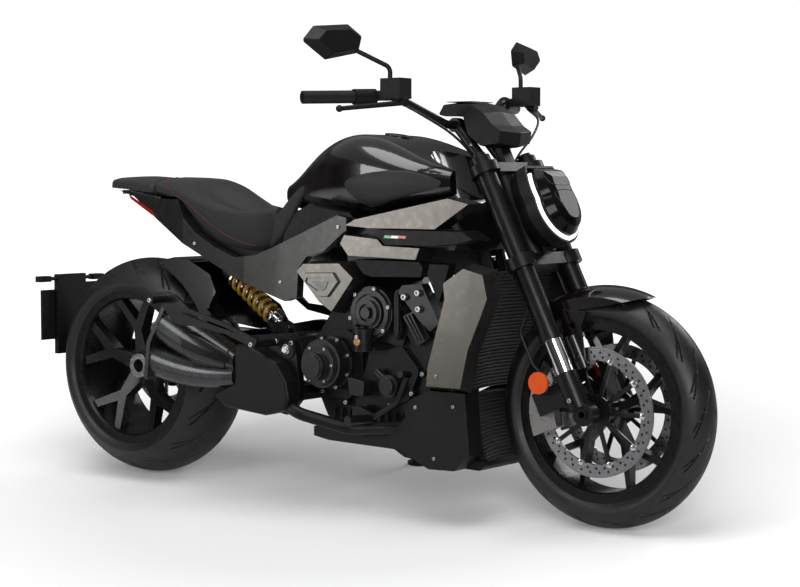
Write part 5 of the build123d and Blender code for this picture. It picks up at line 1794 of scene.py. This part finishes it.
    def mirror_glass(self) -> None:
        """Glass on the riders' face of each mirror."""
        for side in Side:
            ahead = Vector((0.975, -0.22, 0)).normalized()
            across = Vector((0.22, 0.975, 0.05)).normalized()
            up = ahead.cross(across)
            middle = Vector(self.bar_centre) + Vector((-107, -428, 200))
            rings = []
            for scale, depth in ((0.9, 0.5), (0.9, -0.8), (0.87, -1.4)):
                face = middle + ahead * depth
                rings.append([tuple(face + (across * u + up * v) * scale) for u, v in self.mirror_corners])
            form = skin(rings)
            if side is Side.LEFT:
                form = form.mirrored()
            self.shop.piece(f"mirror_glass_{side.name.lower()}", Body.STEERING, form, "mirror_glass", "lens")
        top = Vector(self.bar_centre) + Vector((0, 0, 59.6))
        screen = [(-26, -56), (50, -50), (50, 50), (-26, 56)]
        rings = [
            [(top.x + x * k, y * k, top.z + z) for x, y in screen] for z,
            k in ((0, 1.0), (1.6, 1.0), (2.0, 0.97))
        ]
        self.shop.piece("dash_screen", Body.STEERING, skin(rings), "smoked_glass", "lens")

    def lamp_face(self) -> None:
        """Fine bezels on the headlamp's glass: an upper lamp, a lower lamp and the seam between."""
        lens, attitude = self.surface("headlamp_lens"), self.shop.attitude
        loops = {
            "upper": [(-46, 606), (46, 606), (50, 578), (34, 560), (-34, 560), (-50, 578)],
            "lower": [(-40, 540), (40, 540), (36, 500), (18, 470), (-18, 470), (-36, 500)],
        }
        form = Form()
        for corners in loops.values():
            knots = [*corners[-1:], *corners, *corners[:2]]
            path = []
            for y, along in [tuple(map(float, p)) for p in smooth_row(knots, 6)][6:-6]:
                start, end = attitude.fork(400, y, along), attitude.fork(0, y, along)
                found = lens.hit(start, tuple(Vector(end) - Vector(start)))
                if found:
                    path.append(tuple(found[0] + found[1] * 0.2))
            if len(path) > 8:
                form.join(tube([*path, path[0]], 1.3, 6))
        self.shop.piece("lamp_bezels", Body.STEERING, form, "cover_black", "lens")

    def chain_plates(self) -> None:
        """Figure-of-eight plates on both sides of the chain."""
        pitch = self.chain_pitch
        rear, front = (0.0, self.shop.attitude.rear_radius), self.front_sprocket
        big, small = pitch / 2 / sin(pi / self.rear_teeth), pitch / 2 / sin(pi / self.front_teeth)
        dx, dz = front[0] - rear[0], front[1] - rear[1]
        swing = np.arccos((big - small) / hypot(dx, dz))
        base = atan2(dz, dx)
        path = []
        for step in range(40):
            turn = base + swing + (2 * pi - 2 * swing) * step / 39
            path.append((rear[0] + big * cos(turn), rear[1] + big * sin(turn)))
        for step in range(24):
            turn = base - swing + 2 * swing * step / 23
            path.append((front[0] + small * cos(turn), front[1] + small * sin(turn)))
        path.append(path[0])
        lengths = [0.0]
        for a, b in zip(path, path[1:]):
            lengths.append(lengths[-1] + hypot(b[0] - a[0], b[1] - a[1]))
        count = 2 * round(lengths[-1] / pitch / 2)
        marks = np.linspace(0, lengths[-1], count + 1)
        xs, zs = np.interp(
            marks, lengths, [p[0] for p in path]
        ), np.interp(marks, lengths, [p[1] for p in path])
        places = []
        for index in range(count):
            ahead = (xs[index + 1] - xs[index], 0.0, zs[index + 1] - zs[index])
            level = self.chain_face + (1.4 if index % 2 else 0.0)
            for side in (-1, 1):
                x, z = (xs[index] + xs[index + 1]) / 2, (zs[index] + zs[index + 1]) / 2
                at = (x, self.chain_middle + side * level, z)
                places.append(Place(at, (0.0, float(side), 0.0), ahead))
        ring = []
        for end in (1, -1):
            for step in range(5):
                turn = radians(-72 + 36 * step)
                ring.append((end * (pitch / 2 + 5.6 * cos(turn)), end * 5.6 * sin(turn)))
        ring.insert(5, (0.0, 3.6))
        ring.append((0.0, -3.6))
        plate = skin([[(x, y, z) for x, y in ring] for z in (0.0, 1.2)])
        self.repeater.lay("chain_plates", Body.CHASSIS, places, plate, "chain_steel", "dark_steel")

    def cables(self) -> None:
        """Control cables that loop from the bars down to the steering head."""
        bx, _, bz = self.bar_centre
        for side in Side:
            s = side.value
            knots = [
                (bx - 2, s * 296, bz + 52), (bx + 50, s * 270, bz + 20), (bx + 84, s * 190, bz - 26),
                (bx + 92, s * 110, bz - 78), (bx + 96, s * 62, bz - 130), (bx + 98, s * 40, bz - 160),
            ]
            path = [tuple(map(float, point)) for point in smooth_row(knots, 8)]
            self.shop.piece(
                f"control_cable_{side.name.lower()}", Body.STEERING, tube(path, 3.4, 8), "hose_rubber",
                "rubber",
            )

    def tank_cap(self) -> None:
        """Fuel cap on top of the tank."""
        found = self.surface("tank").hit((930, 0, 1200), (0, 0, -1))
        if not found:
            return
        rows = [(38, -4.0), (38, 1.5), (36, 3.0), (29, 3.0), (28, 2.0), (27, 4.0), (6, 4.6), (0.5, 4.6)]
        shape = skin([[(r * cos(pi * k / 24), r * sin(pi * k / 24), z) for k in range(48)] for r, z in rows])
        place = Place(tuple(found[0]), tuple(found[1]), (1.0, 0.0, 0.0))
        self.repeater.lay("fuel_cap", Body.CHASSIS, [place], shape, "smooth_plastic", "gloss_black")


# Dressing


class Dresser:
    """Gives each carried-over construction node its finish."""

    finishes: dict[str, tuple[str, ...]] = {
        "tyre_rubber": ("rear_tyre", "front_tyre"),
        "black_lacquer": ("tank", "front_fender", "hugger"),
        "wing_black": ("wings",),
        "spoke_black": ("rear_rim", "front_rim"),
        "satin_black": (
            "bottom_yoke", "top_yoke", "fork_tubes", "handlebar", "fork_feet", "plate_arm",
            "pivot_plates", "main_frame", "side_stand", "footpegs", "front_axle",
        ),
        "cast_black": ("engine_block", "swingarm", "exhaust"),
        "cover_black": ("engine_covers", "head_covers"),
        "gunmetal": ("intake_covers", "side_covers", "radiator_shields"),
        "grained_plastic": (
            "headlamp_shell", "dash", "mirrors", "hand_controls", "tank_pads", "belly_pan", "indicators",
            "airbox",
        ),
        "frame_grey": ("seat_frame",),
        "seat_leather": ("rider_seat", "passenger_seat"),
        "hose_rubber": ("grips", "coolant_hoses", "brake_hoses"),
        "smooth_plastic": ("silencer_cover",),
        "core_black": ("radiator", "oil_cooler"),
        "silencer_steel": ("silencer",),
        "bright_steel": ("rear_axle", "rear_sprocket", "shock"),
        "stanchion_chrome": ("stanchions",),
        "front_disc_steel": ("front_discs",),
        "rear_disc_steel": ("rear_disc",),
        "chain_steel": ("chain",),
        "caliper_dark": ("front_calipers", "rear_caliper"),
        "spring_gold": ("shock_spring",),
        "plate_blank": ("number_plate",),
        "amber_moulding": ("fork_reflectors",),
        "red_moulding": ("tail_light",),
        "smoked_glass": ("headlamp_lens",),
        "running_light": ("light_strip",),
    }

    def dress(self, nodes: dict[str, bpy.types.Object], palette: Palette) -> None:
        """Assigns the finishes.

        Args:
            nodes: Construction nodes by name.
            palette: The machine's finishes.
        """
        for finish, names in self.finishes.items():
            for name in names:
                if name not in nodes:
                    continue
                slots = nodes[name].material_slots
                for entry in slots:
                    entry.material = palette.get(finish)
                log.info("dressed %s in %s", name, finish)


def main() -> None:
    """Builds the whole picture in order."""
    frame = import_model()
    axle = next(joint for joint in frame["joints"] if joint["name"] == "rear_wheel_spin")
    attitude = Attitude(rear_axle_at=tuple(axle["pos_m"]))
    Viewpoint().build(attitude)
    Studio().build()
    palette = Palette(attitude)
    Dresser().dress(frame["nodes"], palette)
    shop = Workshop(attitude, palette)
    repeater = Repeater(shop)
    rear_axle, front_axle = (0.0, attitude.rear_radius), (attitude.wheelbase, attitude.front_radius)
    rear_cuts = (TreadCut(16, 112, -120, -50, 4.6, 5.5), TreadCut(56, 120, -60, -20, 3.8, 4.5, 0.5))
    front_cuts = (TreadCut(7, 60, -95, -40, 4.0, 5.0), TreadCut(28, 66, -45, -20, 3.4, 4.0, 0.5))
    TreadedTyre(
        Body.REAR_WHEEL, "rear_tyre", rear_axle, attitude.rear_radius, 244, 72, 206, rear_cuts, 16, 820, 86
    ).build(shop)
    TreadedTyre(
        Body.FRONT_WHEEL, "front_tyre", front_axle, attitude.front_radius, 122, 46, 92, front_cuts, 18, 800,
        66,
    ).build(shop)
    Seats().build(shop, repeater)
    Trim(shop, repeater, frame["nodes"]).build()


if __name__ == "__main__":
    main()
